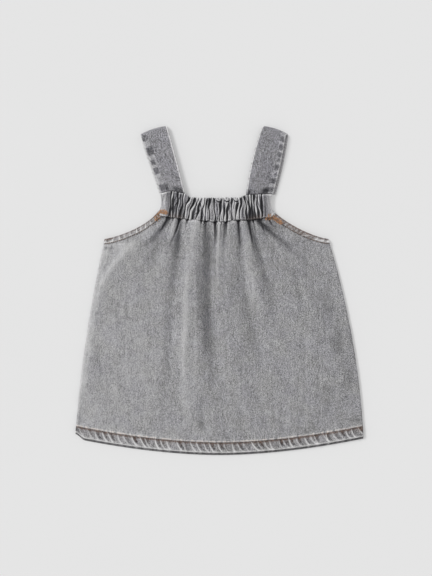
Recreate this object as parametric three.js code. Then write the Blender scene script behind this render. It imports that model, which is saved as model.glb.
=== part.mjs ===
// A child's pinafore dress in washed grey denim, laid flat on its back.
// Millimetres, +Z up: the front faces up, the straps point to +Y and the hem to -Y.
// The pieces are drafted as a pattern is: x runs from the middle of the hem, y is the height above the
// hem's lowest point, and z is the height above the table. The group is then moved onto its origin.
import * as THREE from "three";

// Cloth, and how the layers lie on each other
const CLOTH = 1.4; // one layer of denim with its nap
const TURNED = 2.2; // denim turned twice and stitched, or with a seam allowance under it
const SEAM_GAP = 0.3; // clearance where two pieces meet
const FRONT_LOW = TURNED + SEAM_GAP; // underside of the front where it lies on the back

// The skirt and its hem
const HEM_HALF = 165.5; // half of the width across the hem
const HEM_RISE = 19; // how far the hem's corners lie above its lowest point
const HEM_CURVE = 1.8; // power of the hem line's curve
const HEM_BAND = 12.5; // height of the turned hem
const HEM_CORNER = 5.2; // how far the hem's left corner is rounded off
const HEM_CORNER_LENGTH = 11; // and the length over which that fades
const SIDE_ALLOWANCE = 8; // seam allowance pressed onto the back at each side
const BODY_PUFF = 0.7; // how far the front lifts off the back between its sides
const PANEL_GAP = 0.4; // least gap between the two panels

// The armhole edge
const ARM_BAND = 6; // width of the turned edge
const ARM_CURVE_END = 0.997; // where the turned edge stops on its curve, short of the neckband

// Rope-like puckers along the turned edges
const ROPE_PITCH = 8.8;
const ROPE_SLANT = 0.6; // sideways shift of a pucker from edge to edge, in pitches
const ROPE_RISE = 0.35;

// The elasticated neckband
const NECK_END_LOW = FRONT_LOW + 0.4; // underside of the front band at its flat ends
const NECK_MID_LOW = 5.3; // and where it is gathered
const NECK_END_FLAT = 26; // length over which one becomes the other
const NECK_END_THICK = 2.6; // the band's flat ends
const PLEAT_VALLEY = 1.5; // the gathered band, at the bottom of a pleat
const PLEAT_RISE = 2.6; // from there to the crest of a narrow pleat
const PLEAT_RISE_BY_WIDTH = 0.1; // a wide pleat stands higher
const PLEAT_EDGE = 0.6; // share of its height that a pleat keeps at the band's edges
const NECK_END_BOW = 3.4; // how far the band's short ends bend inwards
const BACK_GROOVE = 1.6; // depth of the back band's pleats, pressed flat on the table
const NECK_LIFT = 3.2; // how far the gathers lift the front panel under the band
const NECK_LIFT_LENGTH = 46;
const SEAM_DIP = 1.3; // how far the panel sinks into the seam under the band
const SEAM_DIP_LENGTH = 4.5;

// The straps, each a doubled band folded over at the shoulder
const STRAP_THICK = 2;
const STRAP_FOLD_HIGH = 6.4; // height of the fold above the table

// The two sides of the body. Each armhole edge is a cubic curve from the underarm up to the neckband.
const LEFT = {
  sign: -1,
  bulge: 4.4,
  underarm: new THREE.Vector2(-131.8, 246.2),
  armhole: [
    [-112, 249.7],
    [-84, 261.1],
    [-71.6, 276.3],
  ],
};
const RIGHT = {
  sign: 1,
  bulge: 7.2,
  underarm: new THREE.Vector2(125.1, 246.4),
  armhole: [
    [108, 248.5],
    [82, 261.2],
    [64.6, 275.7],
  ],
};

// The neckband's lower and upper edge
const NECK_BOTTOM = [
  { x: -71.8, y: 276.8 },
  { x: -66, y: 272.6 },
  { x: -44, y: 270.6 },
  { x: -30, y: 268.6 },
  { x: -5, y: 266.8 },
  { x: 30, y: 268.8 },
  { x: 58, y: 271.2 },
  { x: 64.6, y: 276.2 },
];
const NECK_TOP = [
  { x: -68.5, y: 299 },
  { x: -55, y: 301 },
  { x: -41, y: 298.6 },
  { x: -32, y: 293.8 },
  { x: -4, y: 293.2 },
  { x: 23, y: 293.6 },
  { x: 31, y: 296.6 },
  { x: 60.8, y: 297.8 },
];

// Where each valley between the band's pleats starts and ends, and its depth as a share of the usual one.
// The first and last rows are the band's short ends.
const PLEATS = [
  { bottom: -71.8, top: -68.5, depth: 0 },
  { bottom: -57.3, top: -54.8, depth: 1 },
  { bottom: -53.6, top: -52.0, depth: 0.7 },
  { bottom: -49.7, top: -47.4, depth: 0.8 },
  { bottom: -45.5, top: -40.8, depth: 1 },
  { bottom: -41.4, top: -34.2, depth: 1 },
  { bottom: -36.0, top: -27.6, depth: 1 },
  { bottom: -31.6, top: -23.4, depth: 0.7 },
  { bottom: -27.6, top: -19.6, depth: 0.8 },
  { bottom: -20.9, top: -16.4, depth: 0.9 },
  { bottom: -16.9, top: -13.5, depth: 0.6 },
  { bottom: -11.6, top: -10.6, depth: 1 },
  { bottom: -4.8, top: -5.9, depth: 1 },
  { bottom: -0.2, top: 2.6, depth: 1 },
  { bottom: 5.2, top: 5.2, depth: 0.6 },
  { bottom: 8.6, top: 11.2, depth: 0.9 },
  { bottom: 14.4, top: 14.8, depth: 0.6 },
  { bottom: 18.9, top: 20.8, depth: 0.8 },
  { bottom: 23.2, top: 24.8, depth: 0.8 },
  { bottom: 32.4, top: 28.2, depth: 1 },
  { bottom: 35.6, top: 33.0, depth: 1 },
  { bottom: 38.4, top: 36.6, depth: 0.8 },
  { bottom: 41.4, top: 39.6, depth: 1 },
  { bottom: 45.2, top: 43.2, depth: 1 },
  { bottom: 49.3, top: 48.4, depth: 1 },
  { bottom: 64.6, top: 60.8, depth: 0 },
];

// The main folds that hang from the gathers. Each runs from one point to another, with its middle bowed
// sideways, and widens on the way. A rise below zero is a trough. One that swells is highest halfway down.
const FOLDS = [
  { fromX: -57, fromY: 270, toX: -100, toY: 225, bow: 3, narrow: 3.4, wide: 9, rise: -2.4 },
  { fromX: -64, fromY: 258, toX: -92, toY: 205, bow: 4, narrow: 4, wide: 8, rise: -1.2, swells: true },
  { fromX: -76, fromY: 262, toX: -149, toY: 140, bow: -20, narrow: 4.5, wide: 9, rise: 1.4, swells: true },
  { fromX: -45.5, fromY: 268, toX: -60, toY: 168, bow: 2, narrow: 3.6, wide: 6.5, rise: -2.8 },
  { fromX: -52, fromY: 235, toX: -60, toY: 110, bow: 0, narrow: 4, wide: 7, rise: -0.9, swells: true },
  { fromX: -26.5, fromY: 267, toX: -36, toY: 190, bow: -2, narrow: 5.2, wide: 5.5, rise: 1.2 },
  { fromX: -34, fromY: 252, toX: -41, toY: 66, bow: -1, narrow: 4.5, wide: 6, rise: 1.4, swells: true },
  { fromX: -15, fromY: 262, toX: -19, toY: 130, bow: 0, narrow: 5, wide: 7, rise: -2.8, swells: true },
  { fromX: -18, fromY: 205, toX: -9, toY: 50, bow: 3, narrow: 7, wide: 11, rise: -1.2, swells: true },
  { fromX: -4, fromY: 264, toX: -6, toY: 220, bow: 1.2, narrow: 2, wide: 2.6, rise: -2 },
  { fromX: 7.5, fromY: 266, toX: 2, toY: 205, bow: 0, narrow: 2, wide: 3.2, rise: -1.6 },
  { fromX: 12, fromY: 236, toX: 20, toY: 150, bow: 3, narrow: 8, wide: 11, rise: -1.2, swells: true },
  { fromX: 23, fromY: 258, toX: 27, toY: 205, bow: 2, narrow: 2.2, wide: 4, rise: -1.8 },
  { fromX: 21, fromY: 215, toX: 54, toY: 84, bow: -2, narrow: 4.5, wide: 9, rise: -1, swells: true },
  { fromX: 30, fromY: 256, toX: 54, toY: 150, bow: -3, narrow: 4.2, wide: 9, rise: 1.2, swells: true },
  { fromX: 34, fromY: 262, toX: 50, toY: 196, bow: -2, narrow: 3.4, wide: 5, rise: -2.7 },
  { fromX: 44, fromY: 235, toX: 66, toY: 130, bow: 2, narrow: 3.5, wide: 8, rise: -1.1, swells: true },
  { fromX: 46, fromY: 264, toX: 112, toY: 205, bow: 3, narrow: 4, wide: 10, rise: -1.9 },
];

// Each strap: how far its back half shows past its front half at the seam and at the fold, x of its seam, the
// folded end's two corners, and the bow of its two edges
const STRAPS = {
  strap_left: {
    peek: [-2.4, 0],
    seam: [-66.8, -39.2],
    fold: [
      [-90.9, 366.4],
      [-59.8, 376.3],
    ],
    bow: [0.4, 0.4],
  },
  strap_right: {
    peek: [3.2, 3.4],
    seam: [30.4, 61.6],
    fold: [
      [48.8, 376.1],
      [76.5, 367],
    ],
    bow: [-2.4, 1.2],
  },
};
const STRAP_FOLD_CURVE = 1.6; // how far the folded end bulges in its middle

// How finely each piece is divided, across and along
const PANEL_COLUMNS = 58;
const SKIRT_ROWS = 12;
const ARMHOLE_ROWS = 13;
const BACK_COLUMNS = 34;
const PLEAT_STEPS = [0, 0.2, 0.5, 0.8];
const ROPE_STEPS = 4;

const mix = THREE.MathUtils.lerp;
const smooth = (t) => THREE.MathUtils.smoothstep(t, 0, 1);
const bell = (t) => Math.exp(-t * t);
const shares = (count) => Array.from({ length: count + 1 }, (_, i) => i / count);

// The y of a table of x and y at any x, easing from each row to the next.
function eased(rows, x) {
  const next = rows.findIndex((row) => row.x > x);
  const i = next < 0 ? rows.length - 2 : Math.max(0, next - 1);
  const [a, b] = [rows[i], rows[i + 1]];
  return mix(a.y, b.y, smooth((x - a.x) / (b.x - a.x)));
}

const hemLine = (x) => HEM_RISE * Math.pow(Math.abs(x) / HEM_HALF, HEM_CURVE);

// The x of a side seam at a height above the hem.
function sideLine(side, y) {
  const t = (side.underarm.y - y) / (side.underarm.y - HEM_RISE);
  return mix(side.underarm.x, side.sign * HEM_HALF, t) + side.sign * side.bulge * 4 * t * (1 - t);
}

// A point that lies inset mm inside the armhole's edge, from the underarm at t = 0 to the neckband at t = 1.
function armholePoint(side, t, inset) {
  const [a, b, c] = side.armhole.map(([x, y]) => new THREE.Vector2(x, y));
  const edge = new THREE.CubicBezierCurve(side.underarm, a, b, c);
  const along = edge.getTangent(t);
  const inwards = new THREE.Vector2(along.y, -along.x).multiplyScalar(-side.sign);
  const downSeam = new THREE.Vector2(
    sideLine(side, side.underarm.y - ARM_BAND) - side.underarm.x,
    -ARM_BAND,
  ).normalize();
  inwards.lerp(downSeam, 1 - smooth(t / 0.2)).normalize();
  return edge.getPoint(t).addScaledVector(inwards, inset);
}

// One side of a panel: up the side seam until v = 0.6, and then along the armhole.
const UNDERARM_V = 0.6;
function panelEdge(side, v) {
  const corner = armholePoint(side, 0, ARM_BAND + SEAM_GAP);
  if (v >= UNDERARM_V)
    return armholePoint(side, (v - UNDERARM_V) / (1 - UNDERARM_V), ARM_BAND + SEAM_GAP);
  const low = HEM_RISE + HEM_BAND + SEAM_GAP;
  const y = mix(low, corner.y, v / UNDERARM_V);
  return new THREE.Vector2(sideLine(side, y), y);
}

// The plan of both panels: rows run from side to side, and bend to the hem line and to the neckband's seam.
// The upper corners stay on the armhole edge.
const PANEL_CORNER = 0.03;
function panelPlan(u, v) {
  const [left, right] = [panelEdge(LEFT, v), panelEdge(RIGHT, v)];
  const [hemLeft, hemRight] = [panelEdge(LEFT, 0), panelEdge(RIGHT, 0)];
  const [topLeft, topRight] = [panelEdge(LEFT, 1), panelEdge(RIGHT, 1)];
  const hemX = mix(hemLeft.x, hemRight.x, u);
  const topX = mix(topLeft.x, topRight.x, u);
  const toHem = hemLine(hemX) - HEM_RISE;
  const toSeam = eased(NECK_BOTTOM, topX) - SEAM_GAP - mix(topLeft.y, topRight.y, u);
  const offCorner = smooth(Math.min(u, 1 - u) / PANEL_CORNER);
  const above = smooth((v - UNDERARM_V) / (1 - UNDERARM_V));
  return {
    x: mix(left.x, right.x, u),
    y:
      mix(left.y, right.y, u) +
      toHem * Math.pow(1 - v, 2) +
      Math.min(toSeam, toSeam * offCorner) * above,
  };
}

// The sum of the folds at a point: each is a bell across, which fades from full height at its top to none at its
// end, or swells and fades again.
function foldHeight(x, y) {
  return FOLDS.reduce((sum, fold) => {
    const t = THREE.MathUtils.clamp((fold.fromY - y) / (fold.fromY - fold.toY), 0, 1);
    const middle = mix(fold.fromX, fold.toX, t) + fold.bow * 4 * t * (1 - t);
    const width = mix(fold.narrow, fold.wide, t);
    const strength = fold.swells ? Math.pow(Math.sin(Math.PI * t), 1.3) : 1 - smooth(t);
    return sum + fold.rise * strength * bell((x - middle) / width);
  }, 0);
}

// Upper side of the back panel, which is thicker along its side seams and grooved under the gathers.
const backGroove = (x, y) => Math.max(0, -0.45 * foldHeight(-x - 8, y) - 0.1);
function backUpper(u, v) {
  const { x, y } = panelPlan(u, v);
  const fromSide = Math.min(x - sideLine(LEFT, y), sideLine(RIGHT, y) - x);
  const allowance = (TURNED - CLOTH) * (1 - smooth((fromSide - SIDE_ALLOWANCE) / 3));
  return CLOTH + backGroove(x, y) + allowance;
}

// Underside of the front panel: lifted by the gathers and by the folds, down on the back at its edges.
function frontLower(u, v) {
  const { x, y } = panelPlan(u, v);
  const inside = smooth(Math.min(u, 1 - u) / 0.14);
  const below = eased(NECK_BOTTOM, x) - y;
  const lift = NECK_LIFT * bell(below / NECK_LIFT_LENGTH) + BODY_PUFF;
  const dip = SEAM_DIP * bell((below - SEAM_GAP) / SEAM_DIP_LENGTH);
  const low = FRONT_LOW + inside * (lift - dip) + foldHeight(x, y) * smooth(Math.min(u, 1 - u) / 0.05);
  return Math.max(low, backUpper(u, v) + PANEL_GAP);
}

const at = (plan, z) => new THREE.Vector3(plan.x, plan.y, z);

// A closed wall between an upper and a lower sheet over the same columns and rows.
function wall(columns, rows, upper, lower) {
  const sheet = (point) => rows.flatMap((v) => columns.map((u) => point(u, v)));
  const points = [...sheet(upper), ...sheet(lower)];
  const [width, under] = [columns.length, columns.length * rows.length];
  const index = [];
  const quad = (a, b, c, d) => index.push(a, b, c, a, c, d);
  for (let j = 0; j + 1 < rows.length; j++) {
    for (let i = 0; i + 1 < width; i++) {
      const a = j * width + i;
      quad(a, a + 1, a + width + 1, a + width);
      quad(under + a, under + a + width, under + a + width + 1, under + a + 1);
    }
  }
  const rim = (a, b) => quad(a, under + a, under + b, b);
  for (let i = 0; i + 1 < width; i++) {
    rim(i, i + 1);
    rim(under - 1 - i, under - 2 - i);
  }
  for (let j = 0; j + 1 < rows.length; j++) {
    rim((j + 1) * width, j * width);
    rim((j + 1) * width - 1, (j + 2) * width - 1);
  }
  const geometry = new THREE.BufferGeometry().setFromPoints(points);
  geometry.setIndex(index);
  geometry.computeVertexNormals();
  return geometry;
}

const panelRows = (skirt, armhole) => [
  ...shares(skirt).map((t) => UNDERARM_V * t),
  ...shares(armhole)
    .slice(1)
    .map((t) => mix(UNDERARM_V, 1, t)),
];

function frontPanel() {
  return wall(
    shares(PANEL_COLUMNS),
    panelRows(SKIRT_ROWS, ARMHOLE_ROWS),
    (u, v) => at(panelPlan(u, v), frontLower(u, v) + CLOTH),
    (u, v) => at(panelPlan(u, v), frontLower(u, v)),
  );
}

function backPanel() {
  return wall(
    shares(BACK_COLUMNS),
    panelRows(5, 8),
    (u, v) => at(panelPlan(u, v), backUpper(u, v)),
    (u, v) => at(panelPlan(u, v), backGroove(panelPlan(u, v).x, panelPlan(u, v).y)),
  );
}

// The neckband's plan. Column c counts valleys: 3.5 is halfway between the third valley and the fourth.
function neckPlan(c, v) {
  const i = Math.min(Math.floor(c), PLEATS.length - 2);
  const [a, b] = [PLEATS[i], PLEATS[i + 1]];
  const fromEnd = Math.min(c, PLEATS.length - 1 - c);
  const bow = NECK_END_BOW * Math.max(0, 1 - fromEnd) * 4 * v * (1 - v) * (c < 1 ? 1 : -1);
  const x = mix(mix(a.bottom, b.bottom, c - i), mix(a.top, b.top, c - i), v) + bow;
  return { x, y: mix(eased(NECK_BOTTOM, x), eased(NECK_TOP, x), v) };
}

function neckLow(x) {
  const fromEnd = Math.min(x - NECK_TOP[0].x, NECK_TOP.at(-1).x - x);
  return mix(NECK_END_LOW, NECK_MID_LOW, smooth(fromEnd / NECK_END_FLAT));
}

// How deep into a valley a column is: 0 on a pleat's crest and on the flat ends, 1 at the bottom.
function valley(c) {
  const i = Math.min(Math.floor(c), PLEATS.length - 2);
  const f = c - i;
  const depth = f < 0.5 ? PLEATS[i].depth : PLEATS[i + 1].depth;
  return depth * (1 - Math.pow(Math.sin(Math.PI * f), 0.7));
}

// Thickness of the gathered band: pleats between the valleys, and a flat stretch at each end.
function neckThickness(c, v) {
  const i = Math.min(Math.floor(c), PLEATS.length - 2);
  const width = PLEATS[i + 1].bottom - PLEATS[i].bottom;
  const crest = PLEAT_VALLEY + PLEAT_RISE + PLEAT_RISE_BY_WIDTH * Math.min(width, 9);
  const flatEnd = i === 0 ? 1 - smooth(c) : i === PLEATS.length - 2 ? smooth(c - i) : 0;
  const gathered = mix(crest, PLEAT_VALLEY, valley(c));
  const edge = mix(PLEAT_EDGE, 1, smooth(Math.min(v, 1 - v) / 0.25));
  return mix(gathered, NECK_END_THICK, flatEnd) * mix(1, edge, 1 - flatEnd);
}

const neckColumns = PLEATS.slice(1).flatMap((_, i) => PLEAT_STEPS.map((f) => i + f));
neckColumns.push(PLEATS.length - 1);

function frontNeckband() {
  return wall(
    neckColumns,
    [0, 0.12, 0.3, 0.7, 0.88, 1],
    (c, v) => at(neckPlan(c, v), neckLow(neckPlan(c, v).x) + neckThickness(c, v)),
    (c, v) => at(neckPlan(c, v), neckLow(neckPlan(c, v).x)),
  );
}

function backNeckband() {
  return wall(
    neckColumns,
    [0, 0.5, 1],
    (c, v) => at(neckPlan(c, v), neckLow(neckPlan(c, v).x) - SEAM_GAP),
    (c, v) => at(neckPlan(c, v), BACK_GROOVE * Math.pow(valley(c), 2)),
  );
}

// The height of the puckers at a distance along an edge and a share of the way across it.
const rope = (along, across) =>
  ROPE_RISE * Math.sin(2 * Math.PI * (along / ROPE_PITCH - ROPE_SLANT * across));

// The hem's plan, with its left corner rounded off.
function hemPlan(u, v) {
  const [left, right] = [LEFT, RIGHT].map((side) => sideLine(side, HEM_RISE + HEM_BAND * v));
  const x = mix(left, right, u);
  const corner = HEM_CORNER * (1 - smooth((x + HEM_HALF) / HEM_CORNER_LENGTH));
  return { x, y: hemLine(x) + HEM_BAND * v + corner * (1 - v) };
}

function hem(low, puckers, columns, rows) {
  return wall(
    shares(columns),
    shares(rows),
    (u, v) => {
      const plan = hemPlan(u, v);
      const round = 0.5 * Math.pow(1 - v, 4);
      return at(plan, low + TURNED + puckers * (rope(plan.x, v) - ROPE_RISE - round));
    },
    (u, v) => at(hemPlan(u, v), low),
  );
}

// A turned armhole edge, its columns running from left to right.
function armholeBand(side, low, puckers, columns, rows) {
  const plan = (u, v) =>
    armholePoint(side, ARM_CURVE_END * (side === LEFT ? u : 1 - u), ARM_BAND * (1 - v));
  const length = side.underarm.distanceTo(armholePoint(side, 1, 0));
  return wall(
    shares(columns),
    shares(rows),
    (u, v) => {
      const round = 0.5 * Math.pow(v, 4);
      return at(plan(u, v), low + TURNED + puckers * (rope(u * length, v) - ROPE_RISE - round));
    },
    (u, v) => at(plan(u, v), low),
  );
}

// A strap's plan: bowed edges from the neckband's upper edge to the fold, which stops short by its own bend,
// all moved sideways by shift.
function strapPlan(strap, u, v, bend, shift) {
  const x = mix(...strap.seam, u);
  const seam = new THREE.Vector2(x, eased(NECK_TOP, x + shift) + SEAM_GAP);
  const [a, b] = strap.fold.map(([foldX, foldY]) => new THREE.Vector2(foldX, foldY));
  const fold = a.lerp(b, u);
  const along = fold.clone().sub(seam).normalize();
  fold.addScaledVector(along, STRAP_FOLD_CURVE * 4 * u * (1 - u) - bend);
  const point = seam.lerp(fold, v);
  point.x += mix(...strap.bow, u) * 4 * v * (1 - v) + shift;
  return { point, along };
}

// A strap as one doubled band: up the front half, round the fold, and down the back half on the table.
function strapBand(strap) {
  const outerBend = STRAP_FOLD_HIGH / 2;
  const skin = (bendRadius, frontHeight, backHeight) => (u, s) => {
    const v = s < 1 ? s : s > 2 ? 3 - s : 1;
    const [atSeam, atFold] = strap.peek;
    const shift = s > 2 ? mix(atSeam, atFold, Math.pow(v, 6)) : atFold * smooth(s - 1);
    const { point, along } = strapPlan(strap, u, v, outerBend, shift);
    const turn = Math.PI * THREE.MathUtils.clamp(s - 1, 0, 1);
    if (s >= 1 && s <= 2) {
      point.addScaledVector(along, bendRadius * Math.sin(turn));
      return at(point, outerBend + bendRadius * Math.cos(turn));
    }
    if (s > 2) return at(point, backHeight);
    const seamLow = neckLow(mix(...strap.seam, u)) + frontHeight;
    const foldLow = STRAP_FOLD_HIGH - STRAP_THICK + frontHeight;
    return at(point, mix(seamLow, foldLow, smooth(v)));
  };
  const [run, turn] = [shares(10), shares(8)];
  return wall(
    shares(5),
    [...run, ...turn.slice(1).map((t) => 1 + t), ...run.slice(1).map((t) => 2 + t)],
    skin(outerBend, STRAP_THICK, 0),
    skin(outerBend - STRAP_THICK, 0, STRAP_THICK),
  );
}

const denim = (name, color) =>
  new THREE.MeshStandardMaterial({ name, color, roughness: 0.92, metalness: 0 });
const panelDenim = denim("panel_denim", 0x949496);
const bandDenim = denim("band_denim", 0x8f8f92);
const hemDenim = denim("hem_denim", 0x8e8b8a);

const dress = new THREE.Group();
function add(name, geometry, material) {
  const mesh = new THREE.Mesh(geometry, material);
  mesh.name = name;
  dress.add(mesh);
}

const hemColumns = Math.round((2 * HEM_HALF) / ROPE_PITCH) * ROPE_STEPS;
add("back_panel", backPanel(), panelDenim);
add("front_panel", frontPanel(), panelDenim);
add("hem_back", hem(0, 0, 60, 1), hemDenim);
add("hem_front", hem(FRONT_LOW, 1, hemColumns, 3), hemDenim);
for (const [name, side] of Object.entries({ left: LEFT, right: RIGHT })) {
  add("armhole_back_" + name, armholeBand(side, 0, 0, 16, 1), hemDenim);
  add("armhole_front_" + name, armholeBand(side, FRONT_LOW, 1, 32, 3), hemDenim);
}
add("neckband_back", backNeckband(), bandDenim);
add("neckband_front", frontNeckband(), bandDenim);
for (const [name, strap] of Object.entries(STRAPS)) add(name, strapBand(strap), bandDenim);

// The origin is under the middle of the dress, on the table.
const box = new THREE.Box3().setFromObject(dress, true);
const middle = box.getCenter(new THREE.Vector3());
dress.position.set(-middle.x, -middle.y, -box.min.z);

export default dress;
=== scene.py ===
# A child's denim pinafore dress, laid flat front up on a plain pale surface.
# The pieces are drafted in millimetres as a pattern is: x from the middle of the hem, y above the hem's
# lowest point and z above the table. They are moved onto the frame and scaled to metres as they are made.
import math

import bpy
import numpy as np
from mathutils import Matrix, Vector


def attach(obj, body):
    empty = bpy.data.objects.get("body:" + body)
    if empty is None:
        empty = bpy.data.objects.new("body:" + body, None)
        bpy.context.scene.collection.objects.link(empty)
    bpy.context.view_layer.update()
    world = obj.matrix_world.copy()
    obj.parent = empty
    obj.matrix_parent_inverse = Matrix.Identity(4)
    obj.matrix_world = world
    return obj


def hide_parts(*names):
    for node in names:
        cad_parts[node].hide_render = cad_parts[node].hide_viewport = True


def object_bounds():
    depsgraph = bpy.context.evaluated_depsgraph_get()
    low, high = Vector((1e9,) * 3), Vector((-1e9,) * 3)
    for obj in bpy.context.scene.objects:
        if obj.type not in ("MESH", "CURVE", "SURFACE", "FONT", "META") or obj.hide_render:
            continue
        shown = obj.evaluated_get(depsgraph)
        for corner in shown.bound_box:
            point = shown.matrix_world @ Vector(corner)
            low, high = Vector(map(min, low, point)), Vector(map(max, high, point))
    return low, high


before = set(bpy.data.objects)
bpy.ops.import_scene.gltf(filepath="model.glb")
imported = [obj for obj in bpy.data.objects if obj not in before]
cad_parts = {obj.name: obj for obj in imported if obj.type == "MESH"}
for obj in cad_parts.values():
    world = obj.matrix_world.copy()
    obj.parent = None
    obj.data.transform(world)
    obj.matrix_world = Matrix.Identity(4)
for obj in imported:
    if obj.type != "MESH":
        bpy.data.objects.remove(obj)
cad_low, cad_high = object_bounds()

MM = 0.001
PATTERN_BASE = cad_low.y / MM

# In metres: where the camera is, and the height of what it takes in
CAMERA_PLACE = (-0.0039, 0.0019, 2.4)
PICTURE_HEIGHT = 0.6624

# Cloth, and how the layers lie on each other
CLOTH = 1.4  # one layer of denim with its nap
TURNED = 2.2  # denim turned twice and stitched, or with a seam allowance under it
SEAM_GAP = 0.3  # clearance where two pieces meet
FRONT_LOW = TURNED + SEAM_GAP  # underside of the front's turned edges
FRONT_LEAST = 3.55  # least height of the front panel's upper side

# The skirt, its hem and the armhole edges
HEM_HALF = 165.5  # half of the width across the hem
HEM_RISE = 19  # how far the hem's corners lie above its lowest point
HEM_CURVE = 1.8  # power of the hem line's curve
HEM_BAND = 12.5  # height of the turned hem
HEM_CORNER = 5.2  # how far the hem's left corner is rounded off
HEM_CORNER_LENGTH = 11  # and the length over which that fades
HEM_PEEK = 2.0  # how far the back hem shows below the front one
HEM_PITCH = 7.4  # from pucker to pucker
SIDE_ALLOWANCE = 8  # seam allowance pressed onto the back at each side
BODY_PUFF = 0.7  # how far the front lifts off the back between its sides
ARM_BAND = 6  # width of the turned armhole edge
ARM_PITCH = 6.2  # from pucker to pucker
ARM_CURVE_END = 0.998  # where the turned edge stops on its curve, short of the neckband
UNDERARM_V = 0.6  # share of a panel's rows that lie below the underarm
PANEL_CORNER = 0.03  # share of the width in which a panel's upper corners stay on the armhole edge

# The elasticated neckband
NECK_END_LOW = FRONT_LOW + 0.4  # underside of the front band at its flat ends
NECK_MID_LOW = 5.3  # and where it is gathered
NECK_END_FLAT = 26  # length over which one becomes the other
NECK_END_THICK = 2.6  # the band's flat ends
PLEAT_VALLEY = 0.9  # the gathered band, at the bottom of a pleat
PLEAT_RISE = 3.2  # from there to the crest of a narrow pleat
PLEAT_RISE_BY_WIDTH = 0.1  # a wide pleat stands higher
NECK_END_BOW = 3.4  # how far the band's short ends bend inwards
NECK_LOOPS = (-0.5, 8.8, 19.5)  # x of the stitched loops at the band's upper edge
NECK_LIFT = 3.2  # how far the gathers lift the front panel under the band
NECK_LIFT_LENGTH = 46  # and how far down
SEAM_DIP = 1.9  # how far the panel sinks into the seam under the band
SEAM_DIP_LENGTH = 3.2  # and how far down

# The straps, each a doubled band folded over at the shoulder
STRAP_THICK = 2
STRAP_LENGTH = 74  # from the seam to the fold
STRAP_ALLOWANCE = 7  # seam allowance inside, along the outer edge
STRAP_FOLD_HIGH = 6.4  # height of the fold above the table
STRAP_FOLD_CURVE = 1.6  # how far the folded end bulges in its middle

# The two sides of the body. Each armhole edge is a cubic curve from the underarm up to the neckband.
LEFT = {
    "sign": -1,
    "bulge": 4.4,
    "underarm": (-131.8, 246.2),
    "armhole": ((-112, 249.7), (-84, 261.1), (-71.6, 276.3)),
}
RIGHT = {
    "sign": 1,
    "bulge": 7.2,
    "underarm": (125.1, 246.4),
    "armhole": ((108, 248.5), (82, 261.2), (64.6, 275.7)),
}

# The neckband's lower and upper edge, as x and y
NECK_BOTTOM = np.array([
    (-71.8, 276.8),
    (-66, 272.6),
    (-44, 270.6),
    (-30, 268.6),
    (-5, 266.8),
    (30, 268.8),
    (58, 271.2),
    (64.6, 276.2),
])
NECK_TOP = np.array([
    (-68.5, 299),
    (-55, 301),
    (-41, 298.6),
    (-32, 293.8),
    (-4, 293.2),
    (23, 293.6),
    (31, 296.6),
    (60.8, 297.8),
])

# The valleys between the band's pleats: x at the bottom and at the top, and depth as a share of the usual
PLEATS = np.array([
    (-71.8, -68.5, 0),
    (-57.3, -54.8, 1),
    (-53.6, -52.0, 0.6),
    (-49.7, -47.4, 0.8),
    (-45.5, -40.8, 1),
    (-41.4, -34.2, 1),
    (-36.0, -27.6, 1.1),
    (-31.6, -23.4, 0.6),
    (-27.6, -19.6, 0.8),
    (-20.9, -16.4, 0.9),
    (-16.9, -13.5, 0.5),
    (-11.6, -10.6, 1),
    (-4.8, -5.9, 1),
    (-0.2, 2.6, 1.1),
    (5.2, 5.2, 0.5),
    (8.6, 11.2, 0.9),
    (14.4, 14.8, 0.5),
    (18.9, 20.8, 0.8),
    (23.2, 24.8, 0.8),
    (32.4, 28.2, 1.2),
    (35.6, 33.0, 1),
    (38.4, 36.6, 0.8),
    (41.4, 39.6, 1),
    (45.2, 43.2, 1),
    (49.3, 48.4, 1.1),
    (64.6, 60.8, 0),
])

# Creases that branch off between the valleys: x and share of the band's height at both ends, and depth
CREASES = np.array([
    (-63.5, 0.95, -65.5, 0.45, 0.3),
    (-59.5, 1.0, -61.5, 0.5, 0.4),
    (-50, 0.8, -55.5, 0.2, 0.9),
    (-43.5, 0.95, -50.5, 0.45, 0.7),
    (-38.0, 0.75, -39.5, 0.3, 0.5),
    (-30.5, 0.9, -37.5, 0.3, 0.5),
    (-27.5, 1.0, -25.5, 0.6, 0.8),
    (-21.2, 0.45, -28.5, 0.22, 1.3),
    (-22.5, 0.85, -20.5, 0.5, 1.1),
    (-20.5, 0.5, -17, 0.1, 0.9),
    (-14.5, 0.9, -13.5, 0.45, 0.5),
    (-8.2, 0.85, -7.5, 0.35, 0.4),
    (-3.0, 0.75, -1.5, 0.4, 0.5),
    (1.2, 0.5, -2.4, 0.05, 0.6),
    (7.5, 0.8, 5.5, 0.35, 0.7),
    (13, 0.85, 10.5, 0.4, 0.8),
    (12.5, 0.45, 14.5, 0.1, 0.6),
    (17.5, 0.9, 16.5, 0.5, 0.7),
    (22.3, 0.78, 20.2, 0.42, 1.2),
    (27, 0.6, 26, 0.1, 0.5),
    (29.5, 0.95, 35, 0.5, 0.7),
    (37.5, 0.8, 36.5, 0.35, 0.6),
    (42, 0.95, 46.5, 0.4, 0.8),
    (46.5, 0.9, 47.5, 0.3, 0.6),
    (53, 0.5, 53.6, 0.05, 0.35),
])

# The gaps between the bulges of the front panel under the band: x, depth, and how far down they reach
GAPS = np.array([
    (-74, 0, 8),
    (-66, 0.3, 6),
    (-58.5, 0.7, 12),
    (-52.4, 0.4, 7),
    (-45.3, 1.3, 22),
    (-36.6, 0.9, 7),
    (-20.6, 0.7, 6),
    (-16.0, 0.4, 9),
    (-5.1, 1.4, 13),
    (8.0, 0.7, 11),
    (21.6, 0.8, 12),
    (33.4, 1.6, 18),
    (38.4, 0.7, 7),
    (46.3, 0.6, 14),
    (56, 0.5, 14),
    (66, 0, 8),
])

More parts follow.
